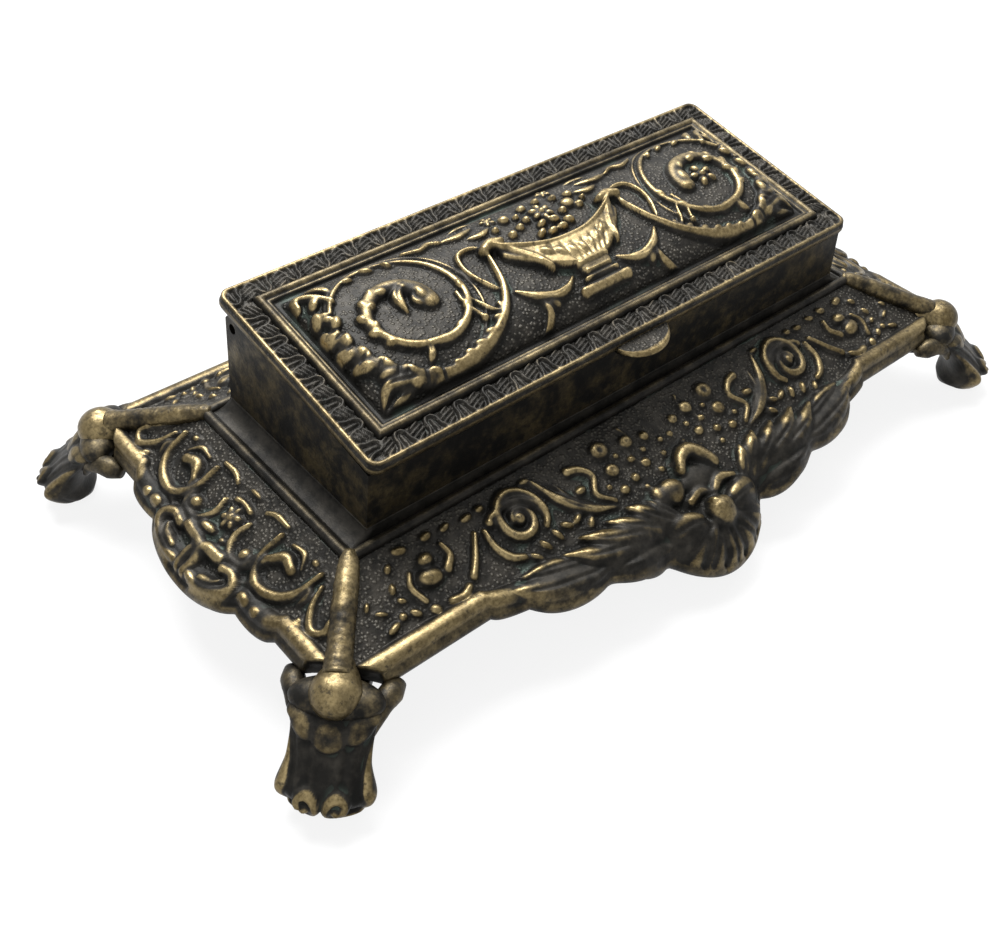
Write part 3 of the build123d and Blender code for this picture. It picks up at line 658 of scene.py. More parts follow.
def tongue(r, along, lead, mid):
    """One veined leaf tongue of the lid's border, with a dart beside it. `along` and `lead` are unit
    vectors along the border and inward."""
    high = TONGUE_RELIEF

    def at(a, b):
        return (mid[0] + a * along[0] + b * lead[0], mid[1] + a * along[1] + b * lead[1])

    for k in range(4):
        base = -1.15 + 0.78 * k
        wide = (0.75, 1.05, 1.15, 0.9)[k]
        r.line([at(-wide, base - 0.45), at(wide, base + 0.4)], [0.3, 0.34, 0.2], high)
    r.line(
        [
            at(1.2, -1.75), at(1.75, -0.6), at(1.9, 0.8), at(2.85, 1.6), at(3.8, 0.8), at(3.95, -0.6),
            at(4.5, -1.75),
        ],
        0.36, 1.05 * high,
    )
    r.line([at(2.85, 0.7), at(2.85, -1.5)], [0.2, 0.45, 0.3], 0.85 * high)


def draw_border():
    """Leaf tongues round the lid, between its rim and its raised frame."""
    r = Relief(-55.2, 55.2, -21.5, 21.5, 0.1)
    band = 18.75
    for k in range(19):
        x = (k - 9) * 5.62
        tongue(r, (1, 0), (0, 1), (x, -band))
        tongue(r, (-1, 0), (0, -1), (-x, band))
    for k in range(7):
        y = (k - 3) * 5.0
        tongue(r, (0, 1), (-1, 0), (52.5, y))
        tongue(r, (0, -1), (1, 0), (-52.5, -y))
    return r


def lid_point(x, t, h):
    """A point of the lid's plane, `h` above it."""
    c, s = cos(LID_SLOPE), sin(LID_SLOPE)
    return np.stack([x + 0 * h, t * c - h * s, LID_MID + t * s + h * c], -1)


def lid_panel(sizes, brass):
    """The domed and ornamented middle of the lid, in its raised frame."""
    r = draw_lid(sizes)
    r.high = soften(r.high, 1)
    rub, shade_and_verdigris, matt = r.marks(1.0)
    step = sizes.lid_step * 1000
    hx, ht = FRAME_OUT[0] + 0.1, FRAME_OUT[1] + 0.1
    x, t = np.meshgrid(
        np.linspace(-hx, hx, int(2 * hx / step)), np.linspace(-ht, ht, int(2 * ht / step)),
    )
    nx, nt = np.abs(x) / DOME_HALF[0], np.abs(t) / DOME_HALF[1]
    dome = sizes.dome * 1000 * np.clip(1 - nx**14, 0, 1) ** 0.55 * np.clip(1 - nt**3.2, 0, 1) ** 0.62
    inset = np.minimum(hx - np.abs(x), ht - np.abs(t)) - 0.1
    bar = np.sqrt(np.clip(1 - ((inset - 0.75) / 0.8) ** 2, 0, 1)) * 1.15
    lip = np.sqrt(np.clip(1 - ((inset - 1.75) / 0.4) ** 2, 0, 1)) * 0.62
    high = dome + np.maximum(bar, lip) + r.sample(r.high, x, t) * (dome > 0.02)
    edge = np.maximum(np.clip(bar / 0.9, 0, 1) ** 3 * 0.42, np.clip(lip / 0.6, 0, 1) ** 3 * 0.4)
    marks = (
        np.maximum(r.sample(rub, x, t) * np.clip(dome, 0, 1), edge),
        np.maximum(
            r.sample(shade_and_verdigris, x, t) * (dome > 0.3),
            # Painted shade in the channel between the frame and the foot of the dome.
            0.9 * (inset > 1.9) * np.clip(1 - dome / 0.9, 0, 1),
        ),
        r.sample(matt, x, t) * (dome > 0.3),
    )
    shell = Shell()
    index = shell.grid(lid_point(x, t, high), marks)
    loop = border(index)
    below = shell.grid(lid_point(border(x), border(t), np.full(len(loop), -1.0))[None])[0]
    shell.bridge(loop, below)
    shell.cap(below[::-1])
    shell.build("lid_panel", brass, "lid", ["lid"])


def lid_border(brass):
    """A ring from the frame out to the rounded edge and round to the underside."""
    b = draw_border()
    rub, shade_and_verdigris, _ = b.marks(0.7)
    turns = np.array([(-1, -1), (1, -1), (1, 1), (-1, 1)])
    outline = []
    for start, end, cuts in zip(turns, np.roll(turns, -1, 0), (640, 230, 640, 230)):
        u = np.linspace(0, 1, cuts, endpoint=False)[:, None]
        outline.append(start[None] * (1 - u) + end[None] * u)
    outline = np.vstack(outline)
    rows_x, rows_t, rows_h, rub_rows, shade_and_verdigris_rows = [], [], [], [], []
    wide = LID_HALF[0] - FRAME_OUT[0]
    for share in np.linspace(0, 1, 26):
        out = share * wide
        half = np.array([FRAME_OUT[0] + out, FRAME_OUT[1] + out * (LID_HALF[1] - FRAME_OUT[1]) / wide])
        p = outline * half
        over = np.clip(np.abs(p) - (half - LID_CORNER * share), 0, None)
        length = np.linalg.norm(over, axis=1)
        pull = np.where(length > LID_CORNER * share, (LID_CORNER * share) / np.maximum(length, 1e-9), 1)
        p = np.sign(p) * (np.abs(p) - over * (1 - pull)[:, None])
        rest = wide - out
        rim = 0.6 * np.sqrt(np.clip(1 - ((rest - 0.45) / 0.5) ** 2, 0, 1)) if rest > 0 else 0.0
        band = b.sample(b.high, p[:, 0], p[:, 1]) * (0.8 < rest < wide - 0.12)
        rows_x.append(p[:, 0])
        rows_t.append(p[:, 1])
        rows_h.append(np.maximum(rim, band) - (0.25 if share > 0.99 else 0.0))
        glow = np.clip(rim / 0.5, 0, 1) ** 2 * 0.55
        rub_rows.append(np.maximum(b.sample(rub, p[:, 0], p[:, 1]) * (rest > 0.8) * 0.42, glow))
        # Painted shadow round the tongues, and a band of painted shade along the foot of the raised frame.
        shade_and_verdigris_rows.append(b.sample(shade_and_verdigris, p[:, 0], p[:, 1]) * (rest > 1.1) * 0.9 + 0.5 * (share < 0.06))
    edge_x, edge_t = rows_x[-1], rows_t[-1]
    for inward, h, shine in (
        (-0.12, -0.7, 0.6), (-0.12, -1.3, 0.45), (0.0, -1.75, 0.4), (0.35, -2.0, 0.3),
    ):
        rows_x.append(edge_x * (1 - inward / 55))
        rows_t.append(edge_t * (1 - inward / 21.3))
        for rows, value in ((rows_h, h), (rub_rows, shine), (shade_and_verdigris_rows, 0.0)):
            rows.append(np.full(len(edge_x), value))
    shell = Shell()
    x, t, h = (np.array(a) for a in (rows_x, rows_t, rows_h))
    index = shell.grid(
        lid_point(x, t, h),
        (np.array(rub_rows), np.array(shade_and_verdigris_rows), 0.6 * (np.array(rub_rows) < 0.1)), wrap=True,
    )
    inner = shell.grid(lid_point(x[:1], t[:1], np.full_like(h[:1], -1.9)), (0.2, 0, 0))[0]
    shell.bridge(index[0], inner)
    shell.cap(index[-1])
    shell.cap(inner[::-1])
    shell.build("lid_border", brass, "lid")


def lid_tab(plain):
    """The half-round thumb tab."""
    shell = Shell()
    u, w = np.meshgrid(np.linspace(-1, 1, 61), np.linspace(0, 1, 15))
    reach = np.sqrt(np.clip(1 - u**2, 0.02, 1)) * TAB_REACH
    t = -LID_HALF[1] + 0.7 - w * (reach + 0.7)
    round_off = 0.5 * (1 - np.sqrt(np.clip(1 - np.clip((w - 0.78) / 0.22, 0, 1) ** 2, 0, 1)))
    top = lid_point(TAB_HALF * u, t, -0.85 - round_off)
    low = lid_point(TAB_HALF * u, t, -2.0 + 0.6 * round_off)
    both = np.concatenate([top, low[::-1]], 0)
    rim = np.clip((w - 0.72) / 0.12, 0, 1)
    rub = np.concatenate([0.25 + 0.6 * rim, 0.3 + 0 * rim], 0)
    index = shell.grid(both, (rub, 0.0, np.concatenate([1.0 - rim, 0 * rim], 0)))
    shell.cap(index[:, 0][::-1])
    shell.cap(index[:, -1])
    shell.bridge(index[0], index[-1], closed=False)
    shell.build("lid_tab", plain, "lid")


def lid_barrels(plain):
    """The lid's two hinge barrels on their webs."""
    shell = Shell()
    for side in (-1, 1):
        x0, x1 = side * 13.25, side * 41.75
        run = np.linspace(x0, x1, 40)
        shell.tube(
            [(x, HINGE[0], HINGE[1]) for x in run], np.array([2.0] + [2.28] * 38 + [2.0]), 32,
            (0.45, 0, 0),
        )
        back = np.array([0, cos(LID_SLOPE), sin(LID_SLOPE)])
        up = np.array([0, -sin(LID_SLOPE), cos(LID_SLOPE)])
        foot = np.array(
            [
                (x, HINGE[0], HINGE[1]) + y * back
                for x, y in ((x0, -2.1), (x1, -2.1), (x1, 1.05), (x0, 1.05))
            ]
        )
        index = shell.grid(np.stack([foot, foot + 3.6 * up]), (0.2, 0, 0), wrap=True)
        shell.cap_both(index)
    shell.build("lid_barrels", plain, "lid")


class INKWELL_OT_lid(bpy.types.Operator):
    """Sloping lid with its ornament, border, thumb tab and hinge barrels"""

    bl_idname = "inkwell.lid"
    bl_label = "Lid"

    def execute(self, context):
        sizes, look = user_settings(context)
        # The lid's brass is kept brighter than the tray's (gold 0.86), partly for its polish and partly as
        # a painted highlight for the lit top of the lid.
        brass = cast_brass("lid_brass", look, 0.0, 1.0, 0.45, gold=0.86)
        plain = cast_brass("tab_brass", look, -0.1, 1.0, 0.7)
        lid_panel(sizes, brass)
        lid_border(brass)
        lid_tab(plain)
        lid_barrels(plain)
        return {"FINISHED"}


# =============================================================================================
# Ornament of the tray
# =============================================================================================
def lobes(a, plain, parts):
    """An edge that runs straight at `plain` and swells in rounded lobes: (middle, half width, swell)."""
    total = np.zeros_like(a)
    for middle, half, swell in parts:
        away = np.abs(a) - middle if middle >= 0 else a - middle
        part = swell * np.clip(1 - (away / half) ** 2, 0, 1) ** 0.5
        total = (total**5 + part**5) ** 0.2
    return plain + total


def long_edge(a):
    return lobes(a, 37.5, ((0.0, 46.0, 3.6), (-1.2, 13.2, 12.3), (17.5, 9.0, 7.6), (30.0, 10.0, 5.6)))


def end_edge(a):
    return lobes(a, 73.9, ((0.0, 13.0, 4.9), (15.5, 5.6, 1.7)))


def draw_long_panel(sizes):
    """Scrolls, buds, berries and an acanthus spray on a long panel; y is the way outward."""
    r = Relief(-76, 76, 20.5, 53, 0.14, 1.3)
    h = sizes.tray_relief * 1000
    # Right half, then mirrored
    r.oval(50.6, 27.0, 1.6, 1.2, 1.2 * h, 0.3)
    r.oval(51.4, 29.4, 2.3, 1.6, 1.3 * h, -0.2)
    r.line([(46.8, 26.0), (46.6, 28.0), (48.2, 29.6)], [0.35, 0.6, 0.7], 0.9 * h)
    r.line([(53.9, 27.4), (55.0, 29.4), (54.2, 32.0)], [0.3, 0.55, 0.5], 0.8 * h)
    for x, y, a, b, turn in (
        (53.2, 23.9, 1.5, 0.85, -0.2), (48.2, 24.0, 1.3, 0.8, 0.2), (56.4, 25.4, 1.0, 0.6, 0.7),
        (57.6, 28.2, 1.1, 0.6, 1.0), (60.8, 33.0, 1.5, 0.6, 0.3), (58.6, 32.2, 0.8, 0.7, 0.0),
        (56.6, 32.7, 1.1, 0.7, -0.7), (53.6, 33.7, 1.1, 0.95, -0.6), (57.4, 30.2, 0.9, 0.5, -0.6),
        (61.2, 30.4, 1.2, 0.4, -0.5), (62.6, 28.6, 1.0, 0.4, 0.8), (44.6, 24.2, 1.2, 0.6, 0.3),
        (40.6, 24.6, 1.3, 0.6, 0.1), (37.8, 24.4, 1.0, 0.7, 0.0), (33.2, 24.2, 1.6, 0.5, 0.1),
        (28.4, 24.2, 1.2, 0.5, 0.0),
    ):
        r.oval(x, y, a, b, 0.85 * h, turn)
    r.line([(50.6, 33.9), (48.6, 34.2), (46.9, 33.4)], [0.6, 0.75, 0.5], h)
    r.line([(45.4, 32.5), (43.4, 30.4), (41.0, 27.2)], [0.6, 0.5, 0.35], h)
    # Snail scroll
    r.scroll(
        (33.2, 28.9), (5.1, 4.6, 3.0, 2.5, 2.3, 1.6, 1.2), pi * 0.95, 1, [0.5, 0.75, 0.8, 0.7, 0.5],
        1.15 * h,
    )
    r.oval(33.1, 28.7, 1.3, 1.3, 1.4 * h)
    r.line(
        [(37.2, 26.4), (35.0, 25.9), (31.6, 26.2), (29.2, 27.8), (28.6, 30.2), (29.6, 31.6)],
        [0.5, 0.7, 0.85, 0.8, 0.5], 1.1 * h,
    )
    r.oval(37.8, 27.0, 0.9, 0.9, h)
    r.line([(39.4, 27.6), (39.5, 30.6), (38.2, 33.0), (36.2, 34.0)], [0.35, 0.6, 0.75, 0.5], h)
    for x, y, turn in (
        (34.4, 35.0, -0.9), (31.9, 34.1, -1.0), (29.0, 33.7, -1.2), (26.6, 33.2, -0.5),
        (24.3, 33.2, 0.4), (22.6, 34.8, 0.8),
    ):
        r.oval(x, y, 1.35, 0.65, 1.05 * h, turn)
    # Long curved leaves towards the middle
    r.leaf([(27.2, 24.6), (25.2, 29.0), (21.6, 32.8), (16.4, 34.9)], 0.95, 1.1 * h, 0.3)
    r.leaf([(24.2, 26.6), (22.8, 30.4), (19.0, 33.4)], 0.6, 0.8 * h, 0.0)
    r.line(
        [(20.6, 26.2), (18.4, 26.9), (17.0, 28.8), (18.6, 31.6), (16.2, 33.9)],
        [0.7, 0.6, 0.5, 0.6, 0.4], 0.9 * h,
    )
    r.oval(20.7, 29.8, 1.4, 0.8, h, 0.1)
    # Acanthus spray: long fingers that gather under the hanging flower
    for start, bend, end, wide, tall in (
        ((42.0, 37.4), (35.6, 40.0), (24.0, 42.0), 2.3, 1.5), (
            (39.0, 36.4), (33.8, 37.4), (27.0, 39.0), 1.25, 1.3,
        ),
        (
            (33.6, 41.6), (27.4, 43.0), (15.0, 42.2), 2.1, 1.3,
        ), ((30.6, 36.8), (25.6, 39.6), (14.0, 42.0), 1.9, 1.9),
        (
            (26.2, 35.9), (21.8, 38.6), (12.0, 41.4), 1.9, 2.1,
        ), ((20.4, 36.0), (17.2, 38.6), (10.4, 41.6), 1.7, 1.9),
        (
            (15.6, 35.7), (13.4, 38.1), (9.0, 41.8), 1.6, 1.7,
        ), ((11.4, 36.6), (10.4, 38.8), (7.6, 42.0), 1.2, 1.5),
        (
            (25.0, 43.6), (19.0, 44.4), (10.0, 43.6), 2.0, 1.4,
        ), ((17.6, 44.6), (14.0, 44.6), (8.4, 44.0), 1.6, 1.3),
    ):
        r.line(
            [start, bend, ((bend[0] + end[0]) / 2, (bend[1] + end[1]) / 2 + 0.3), end],
            [0.2, 0.75 * wide, wide, 0.85 * wide, 0.4],
            [0.6 * tall * h, tall * h, tall * h, 0.8 * tall * h, 0.5 * h], 0.55,
        )
        r.line([(start[0] - 0.8, start[1] + 0.4), bend, end], [0.1, 0.32, 0.12], 0.4, 1.0, cut=True)
    # Berries and small flowers above the spray
    for x, y, size in (
        (12.9, 25.9, 2.0), (13.2, 29.6, 1.6), (7.4, 26.8, 1.5), (10.2, 32.4, 1.0), (6.6, 31.2, 1.1),
        (13.4, 33.2, 1.1), (3.6, 27.4, 1.1), (8.8, 29.6, 0.8),
    ):
        r.oval(x, y, size, 0.85 * size, 0.95 * h)
        if size > 1.3:
            r.oval(x, y, 0.35 * size, 0.35 * size, 0.3, 0, 0.8, cut=True)
    for x, y in (
        (4.8, 33.4), (2.4, 31.4), (5.4, 29.2), (1.2, 29.2), (9.4, 34.6), (15.6, 31.6), (10.8, 27.9),
        (2.6, 33.8),
    ):
        r.oval(x, y, 0.75, 0.6, 0.75 * h)
    r.line([(7.2, 24.2), (6.4, 26.4), (8.2, 28.2), (7.6, 31.0)], 0.3, 0.5 * h)
    r.mirror()
    # Bud to the left, curled leaf to the right and a smooth leaf between them
    r.oval(-6.6, 37.4, 2.9, 2.3, 1.9 * h, -0.15, 0.3)
    r.oval(-8.9, 37.2, 1.6, 2.2, 1.5 * h, 0.1, 0.4)
    r.line(
        [(-2.4, 35.4), (-0.6, 33.5), (1.7, 33.1), (3.4, 34.8), (4.4, 36.6)], [0.8, 1.1, 1.2, 1.3, 1.1],
        1.8 * h,
    )
    r.line([(-3.2, 37.6), (-0.4, 37.6), (3.2, 37.8)], [1.0, 1.9, 1.2], 1.0 * h, 0.4)
    r.line([(0.6, 40.8), (3.2, 39.4), (6.0, 40.2)], [0.7, 1.0, 0.6], 1.4 * h)
    r.line([(-4.6, 40.3), (-1.6, 39.6), (0.2, 41.2)], [0.7, 0.9, 0.6], 1.2 * h)
    # Hanging flower
    for k in range(7):
        a = radians(-14 + 208 * k / 6)
        r.oval(-1.2 + 7.0 * cos(a), 44.2 + 4.3 * sin(a), 4.4, 2.3, 1.9 * h, a, 0.4)
        r.line(
            [(-1.2 + 2.8 * cos(a), 44.2 + 1.9 * sin(a)), (-1.2 + 10.0 * cos(a), 44.2 + 6.0 * sin(a))],
            0.34, 0.5, 1.0, cut=True,
        )
    r.oval(-0.4, 44.0, 2.9, 2.7, 2.7 * h, 0, 0.4)
    r.oval(-1.2, 42.2, 1.2, 1.0, 2.4 * h, 0, 0.5)
    return r


def draw_end_panel(sizes):
    """C scrolls, a rosette and a shell on an end panel; x runs along it and y is the way outward."""
    r = Relief(-32, 32, 59.5, 81, 0.14, 1.3)
    h = sizes.tray_relief * 1000
    r.line(
        [(9.6, 64.6), (9.8, 68.8), (12.6, 71.7), (16.6, 71.1), (19.4, 68.6), (20.2, 64.4)],
        [0.4, 0.7, 0.85, 0.75, 0.4], 1.1 * h,
    )
    r.line([(12.4, 64.4), (15.2, 64.2), (17.0, 66.0)], [0.3, 0.5, 0.3], 0.7 * h)
    r.line([(11.0, 68.2), (13.4, 66.4), (15.8, 66.9)], [0.6, 1.0, 0.8], 1.2 * h)
    r.oval(11.0, 68.9, 0.8, 0.8, 1.1 * h)
    r.line([(3.6, 66.8), (3.2, 69.4), (5.2, 71.8), (8.4, 71.6), (9.4, 69.6)], [0.35, 0.6, 0.7, 0.7, 0.9], h)
    r.oval(7.4, 70.2, 1.35, 1.2, 1.2 * h)
    r.line([(4.2, 64.0), (6.2, 63.2), (9.4, 63.2)], [0.3, 0.5, 0.3], 0.7 * h)
    r.leaf([(19.6, 66.2), (21.2, 67.6), (20.8, 69.6)], 0.7, 0.9 * h, 0.0)
    r.line(
        [(21.8, 65.4), (23.2, 68.4), (25.8, 70.4), (27.8, 69.4), (27.4, 67.9)],
        [0.3, 0.5, 0.7, 0.6, 0.6], 0.95 * h,
    )
    r.oval(23.4, 70.9, 1.2, 0.7, 0.9 * h, 0.7)
    r.oval(17.8, 63.9, 0.9, 0.6, 0.7 * h)
    r.leaf([(24.2, 64.8), (26.2, 66.6), (29.0, 68.6)], 0.5, 0.6 * h, 0.0)
    # Shell at the outer edge: ridges with ball ends
    r.line([(0.8, 78.0), (0.9, 75.2), (-1.2, 73.4), (-4.9, 72.9)], [0.7, 1.0, 1.0, 0.9], 1.4 * h)
    r.line(
        [(2.2, 77.6), (5.4, 78.0), (9.0, 76.6), (10.4, 74.6), (8.6, 73.2), (6.4, 73.6)],
        [0.7, 1.1, 1.1, 0.9, 0.8], 1.4 * h,
    )
    r.line([(4.2, 76.6), (6.6, 76.2), (8.0, 74.9)], [0.5, 0.9, 0.4], 1.2 * h)
    r.oval(13.4, 74.2, 1.9, 1.3, 1.4 * h, 0.1)
    r.oval(16.4, 74.3, 1.2, 1.0, 1.1 * h)
    r.leaf([(10.4, 72.9), (12.8, 72.3), (14.9, 72.7)], 0.5, 0.7 * h, 0.0)
    r.mirror()
    r.oval(2.0, 71.4, 2.3, 1.05, 1.3 * h, 0.1)
    r.oval(-2.4, 71.2, 1.2, 0.8, 0.9 * h)
    r.flower(0, 68.0, 2.2, 6, 1.1 * h, 0.32)
    r.line([(-2.0, 65.6), (0.0, 65.3), (2.0, 65.6)], 0.45, 0.8 * h)
    r.oval(0, 63.2, 2.0, 0.5, 0.6 * h)
    return r


def panel(name, brass, relief, edge, inner, fall, bead, corner, cut, wide, droop, sign, swap, step):
    """One sloping panel from the bead to its shaped edge. `bead`, `corner` and `cut` are where its ends
    run: beside the bead, at the rib's foot and at the knuckle. `wide` is its half length, `droop` how
    far the middle of its edge hangs, and `sign` its side of the tray. `swap` is true for the end
    panels, which run along Y."""
    rub, shade_and_verdigris, matt = relief.marks(1.0, 1.8)
    along = np.linspace(-1, 1, int(2 * wide / step))
    across = np.linspace(0, 1, int((edge(np.zeros(1))[0] - inner) / step))
    u, v = np.meshgrid(along, across)
    a = u * wide
    for _ in range(6):
        reach = inner + v * (edge(a) - inner)
        slide = np.minimum(reach, cut[1])
        limit = np.where(
            slide <= corner[1],
            bead[0] + 0.7 + (slide - inner) * (corner[0] - bead[0] - 0.7) / (corner[1] - inner),
            corner[0] + (slide - corner[1]) * (cut[0] - corner[0]) / (cut[1] - corner[1]),
        )
        a = u * limit
    out = inner + v * (edge(a) - inner)
    rest = edge(a) - out
    plane = LEDGE - (out - bead[1]) * fall
    bar = 1.5 * np.sqrt(np.clip(1 - ((rest - 1.35) / 1.75) ** 2, 0, 1))
    past = (np.abs(a) - wide * 0.62) / 4.0
    bar = bar * np.clip(past, 0, 1) + 0.55 * bar * np.clip(1 - past, 0, 1)
    high = np.maximum(relief.sample(relief.high, a, out), bar)
    roll = -0.9 * np.clip(1 - rest / 1.2, 0, 1) ** 2
    middle = np.clip(1 - (np.abs(a) / (wide * 0.3)) ** 2, 0, 1)
    sag = droop * np.clip((out - edge(a) + 7.0) / 7.0, 0, 1) ** 1.6 * middle
    slope = np.arctan(fall)

    def place(a, out, plane, high):
        level = sign * (out + high * np.sin(slope))
        z = plane + high * np.cos(slope)
        return np.stack([level, a, z], -1) if swap else np.stack([a, level, z], -1)

    shine = np.clip(bar / 1.2, 0, 1) ** 2 * 0.7 * np.clip((np.abs(a) - wide * 0.6) / 3, 0, 1)
    marks = (
        np.maximum(relief.sample(rub, a, out), shine),
        np.maximum(
            # Painted shadow round the ornament, and painted shade along the panel's foot by the bead,
            # lightened on the rubbed outer bar.
            relief.sample(shade_and_verdigris, a, out), 0.75 * np.clip(1 - (out - inner) / 1.2, 0, 1),
        ) * (1 - 0.8 * shine),
        relief.sample(matt, a, out) * (bar < 0.2),
    )
    shell = Shell()
    index = shell.grid(place(a, out, plane - sag, high + roll), marks)

    # The outer edge rolls over and runs back under; the inner side and the ends go straight down
    last, rim_along, rim_out, rim_top = border(index), border(a), border(out), border(high + roll)
    up, down = np.linspace(0, 1, len(across) - 1) > 0.98, np.linspace(1, 0, len(across) - 2) > 0.98
    outer = np.concatenate([np.zeros(len(along)), up, np.ones(len(along) - 1), down])
    rim_plane = np.where(outer > 0, border(plane - sag), LEDGE - (rim_out - bead[1]) * fall)
    for push, drop, glow in PANEL_ROLL:
        under = rim_plane - np.where(outer > 0, drop, min(drop, SKIN))
        kept = np.where(outer > 0, 0.55, 0.0) * rim_top * (drop < 1)
        rows = place(rim_along, rim_out + push * outer, under, kept)
        ring = shell.grid(rows[None], (glow * outer, 0.0, 0.0))[0]
        shell.bridge(last, ring)
        last = ring
    shell.cap(last[::-1])
    return shell.build(name, brass, "stand", ["tray"])


def tray_plinth(plinth):
    """The bead, the cove and the ledge below them."""
    shell = Shell()
    turn = np.linspace(0, pi, 13)
    bx, by = BEAD_HALF
    bead = [(bx + BEAD_RADIUS * cos(a), by + BEAD_RADIUS * cos(a), LEDGE + 0.8 * sin(a)) for a in turn]
    cove = []
    for k in range(1, 13):
        a = k / 12 * pi / 2
        shrink = sin(a)
        cove.append((
            bx - BEAD_RADIUS - (bx - BEAD_RADIUS - CASKET_FOOT[0] - 0.1) * shrink,
            by - BEAD_RADIUS - (by - BEAD_RADIUS - CASKET_FOOT[1] - 0.02) * shrink,
            LEDGE + (PLINTH_TOP - LEDGE) * (1 - cos(a)) ** 0.85,
        ))
    profile = [(bx + 0.9, by + 0.9, LEDGE - SKIN + 0.4)] + bead + cove + [
        (*OPENING, PLINTH_TOP), (*OPENING, LEDGE - SKIN),
    ]
    rub = [0.0] + [0.4 * sin(a) ** 2 for a in turn] + [0.05] * 11 + [0.25] + [0.0, 0.0]
    shell.ring(profile, np.array(rub))
    shell.build("tray_plinth", plinth, "stand")


def tray_ribs(rod):
    """A rib from the plinth down to each foot."""
    bx, by = BEAD_HALF
    shell = Shell()
    noise = np.random.default_rng(7)
    for sx, sy in CORNERS:
        start = np.array([sx * (bx - 0.8), sy * (by - 0.8), LEDGE + 0.25])
        end = np.array([sx * (KNUCKLE[0] - 1.5), sy * (KNUCKLE[1] - 1.6), LEG_TOP + 1.9])
        share = np.linspace(0, 1, 50)[:, None]
        run = start * (1 - share) + end * share
        radii = np.interp(
            share[:, 0], (0, 0.08, 0.3, 0.8, 1), (1.0, 1.6, 1.95, 2.0, 2.3),
        ) + 0.05 * noise.standard_normal(50)
        shell.tube(run, radii, 28, (0.42, 0, 0), 0.9)
    shell.build("tray_ribs", rod, "stand")


def tray_posts(rod):
    """Posts that the base plate bears on, and bosses that the feet are screwed to."""
    shell = Shell()
    for sx, sy in CORNERS:
        for x, y, low, high, radius in (
            (58.0, 11.0, 9.0, LEDGE - SKIN + 0.5, 3.0),
            (
                KNUCKLE[0] - 8.4 * cos(FOOT_TURN), KNUCKLE[1] - 8.4 * sin(FOOT_TURN), LEG_TOP - 3.8,
                LEDGE - 7.2, 3.2,
            ),
        ):
            levels = [(radius - 0.4, low), (radius, low + 0.4), (radius + 0.1, high)]
            a = np.linspace(0, 2 * pi, 32, endpoint=False)
            rings = np.stack(
                [
                    np.stack([sx * x + r * np.cos(a), sy * y + r * np.sin(a), np.full(32, z)], -1)
                    for r, z in levels
                ]
            )
            index = shell.grid(rings, (0.1, 0, 0), wrap=True)
            shell.cap_both(index)
    shell.build("tray_posts", rod, "stand")


class INKWELL_OT_tray(bpy.types.Operator):
    """Tray: four ornamented panels, bead, coved plinth, corner ribs, posts and bosses"""

    bl_idname = "inkwell.tray"
    bl_label = "Tray"

    def execute(self, context):
        sizes, look = user_settings(context)
        brass = cast_brass("tray_brass", look, -0.04, 1.0, 0.7, gold=0.6)
        step = sizes.tray_step * 1000
        long_relief, end_relief = draw_long_panel(sizes), draw_end_panel(sizes)
        for relief in (long_relief, end_relief):
            relief.high = soften(relief.high, 1)
        for name, sign in (("tray_front", -1), ("tray_rear", 1)):
            panel(
                name, brass, long_relief, long_edge, 22.0, FALL_LONG, BEAD_HALF, JOINT, (64.9, 38.4),
                64.9, 4.2, sign, False, step,
            )
        swapped = BEAD_HALF[::-1]
        for name, sign in (("tray_left", -1), ("tray_right", 1)):
            panel(
                name, brass, end_relief, end_edge, 61.1, FALL_END, swapped, JOINT[::-1], (27.8, 74.6),
                27.8, 0.6, sign, True, step,
            )
        rod = cast_brass("rib_brass", look, 0.1, 0.0, 1.3, gold=0.62)
        tray_plinth(cast_brass("plinth_brass", look, -0.02, 0.0, 0.4, gold=0.5, tone=0.9))
        tray_ribs(rod)
        tray_posts(rod)
        return {"FINISHED"}


# =============================================================================================
# Feet
# =============================================================================================
def teardrop(unit):
    """A unit ball whose inner side is drawn out towards the rib."""
    made = unit.copy()
    back = np.clip(-unit[..., 0], 0, 1)
    made[..., 0] *= 1 + 0.75 * back
    made[..., 1] *= 1 - 0.45 * back**1.5
    made[..., 2] = made[..., 2] * (1 - 0.35 * back) + 0.3 * back**1.5
    return made


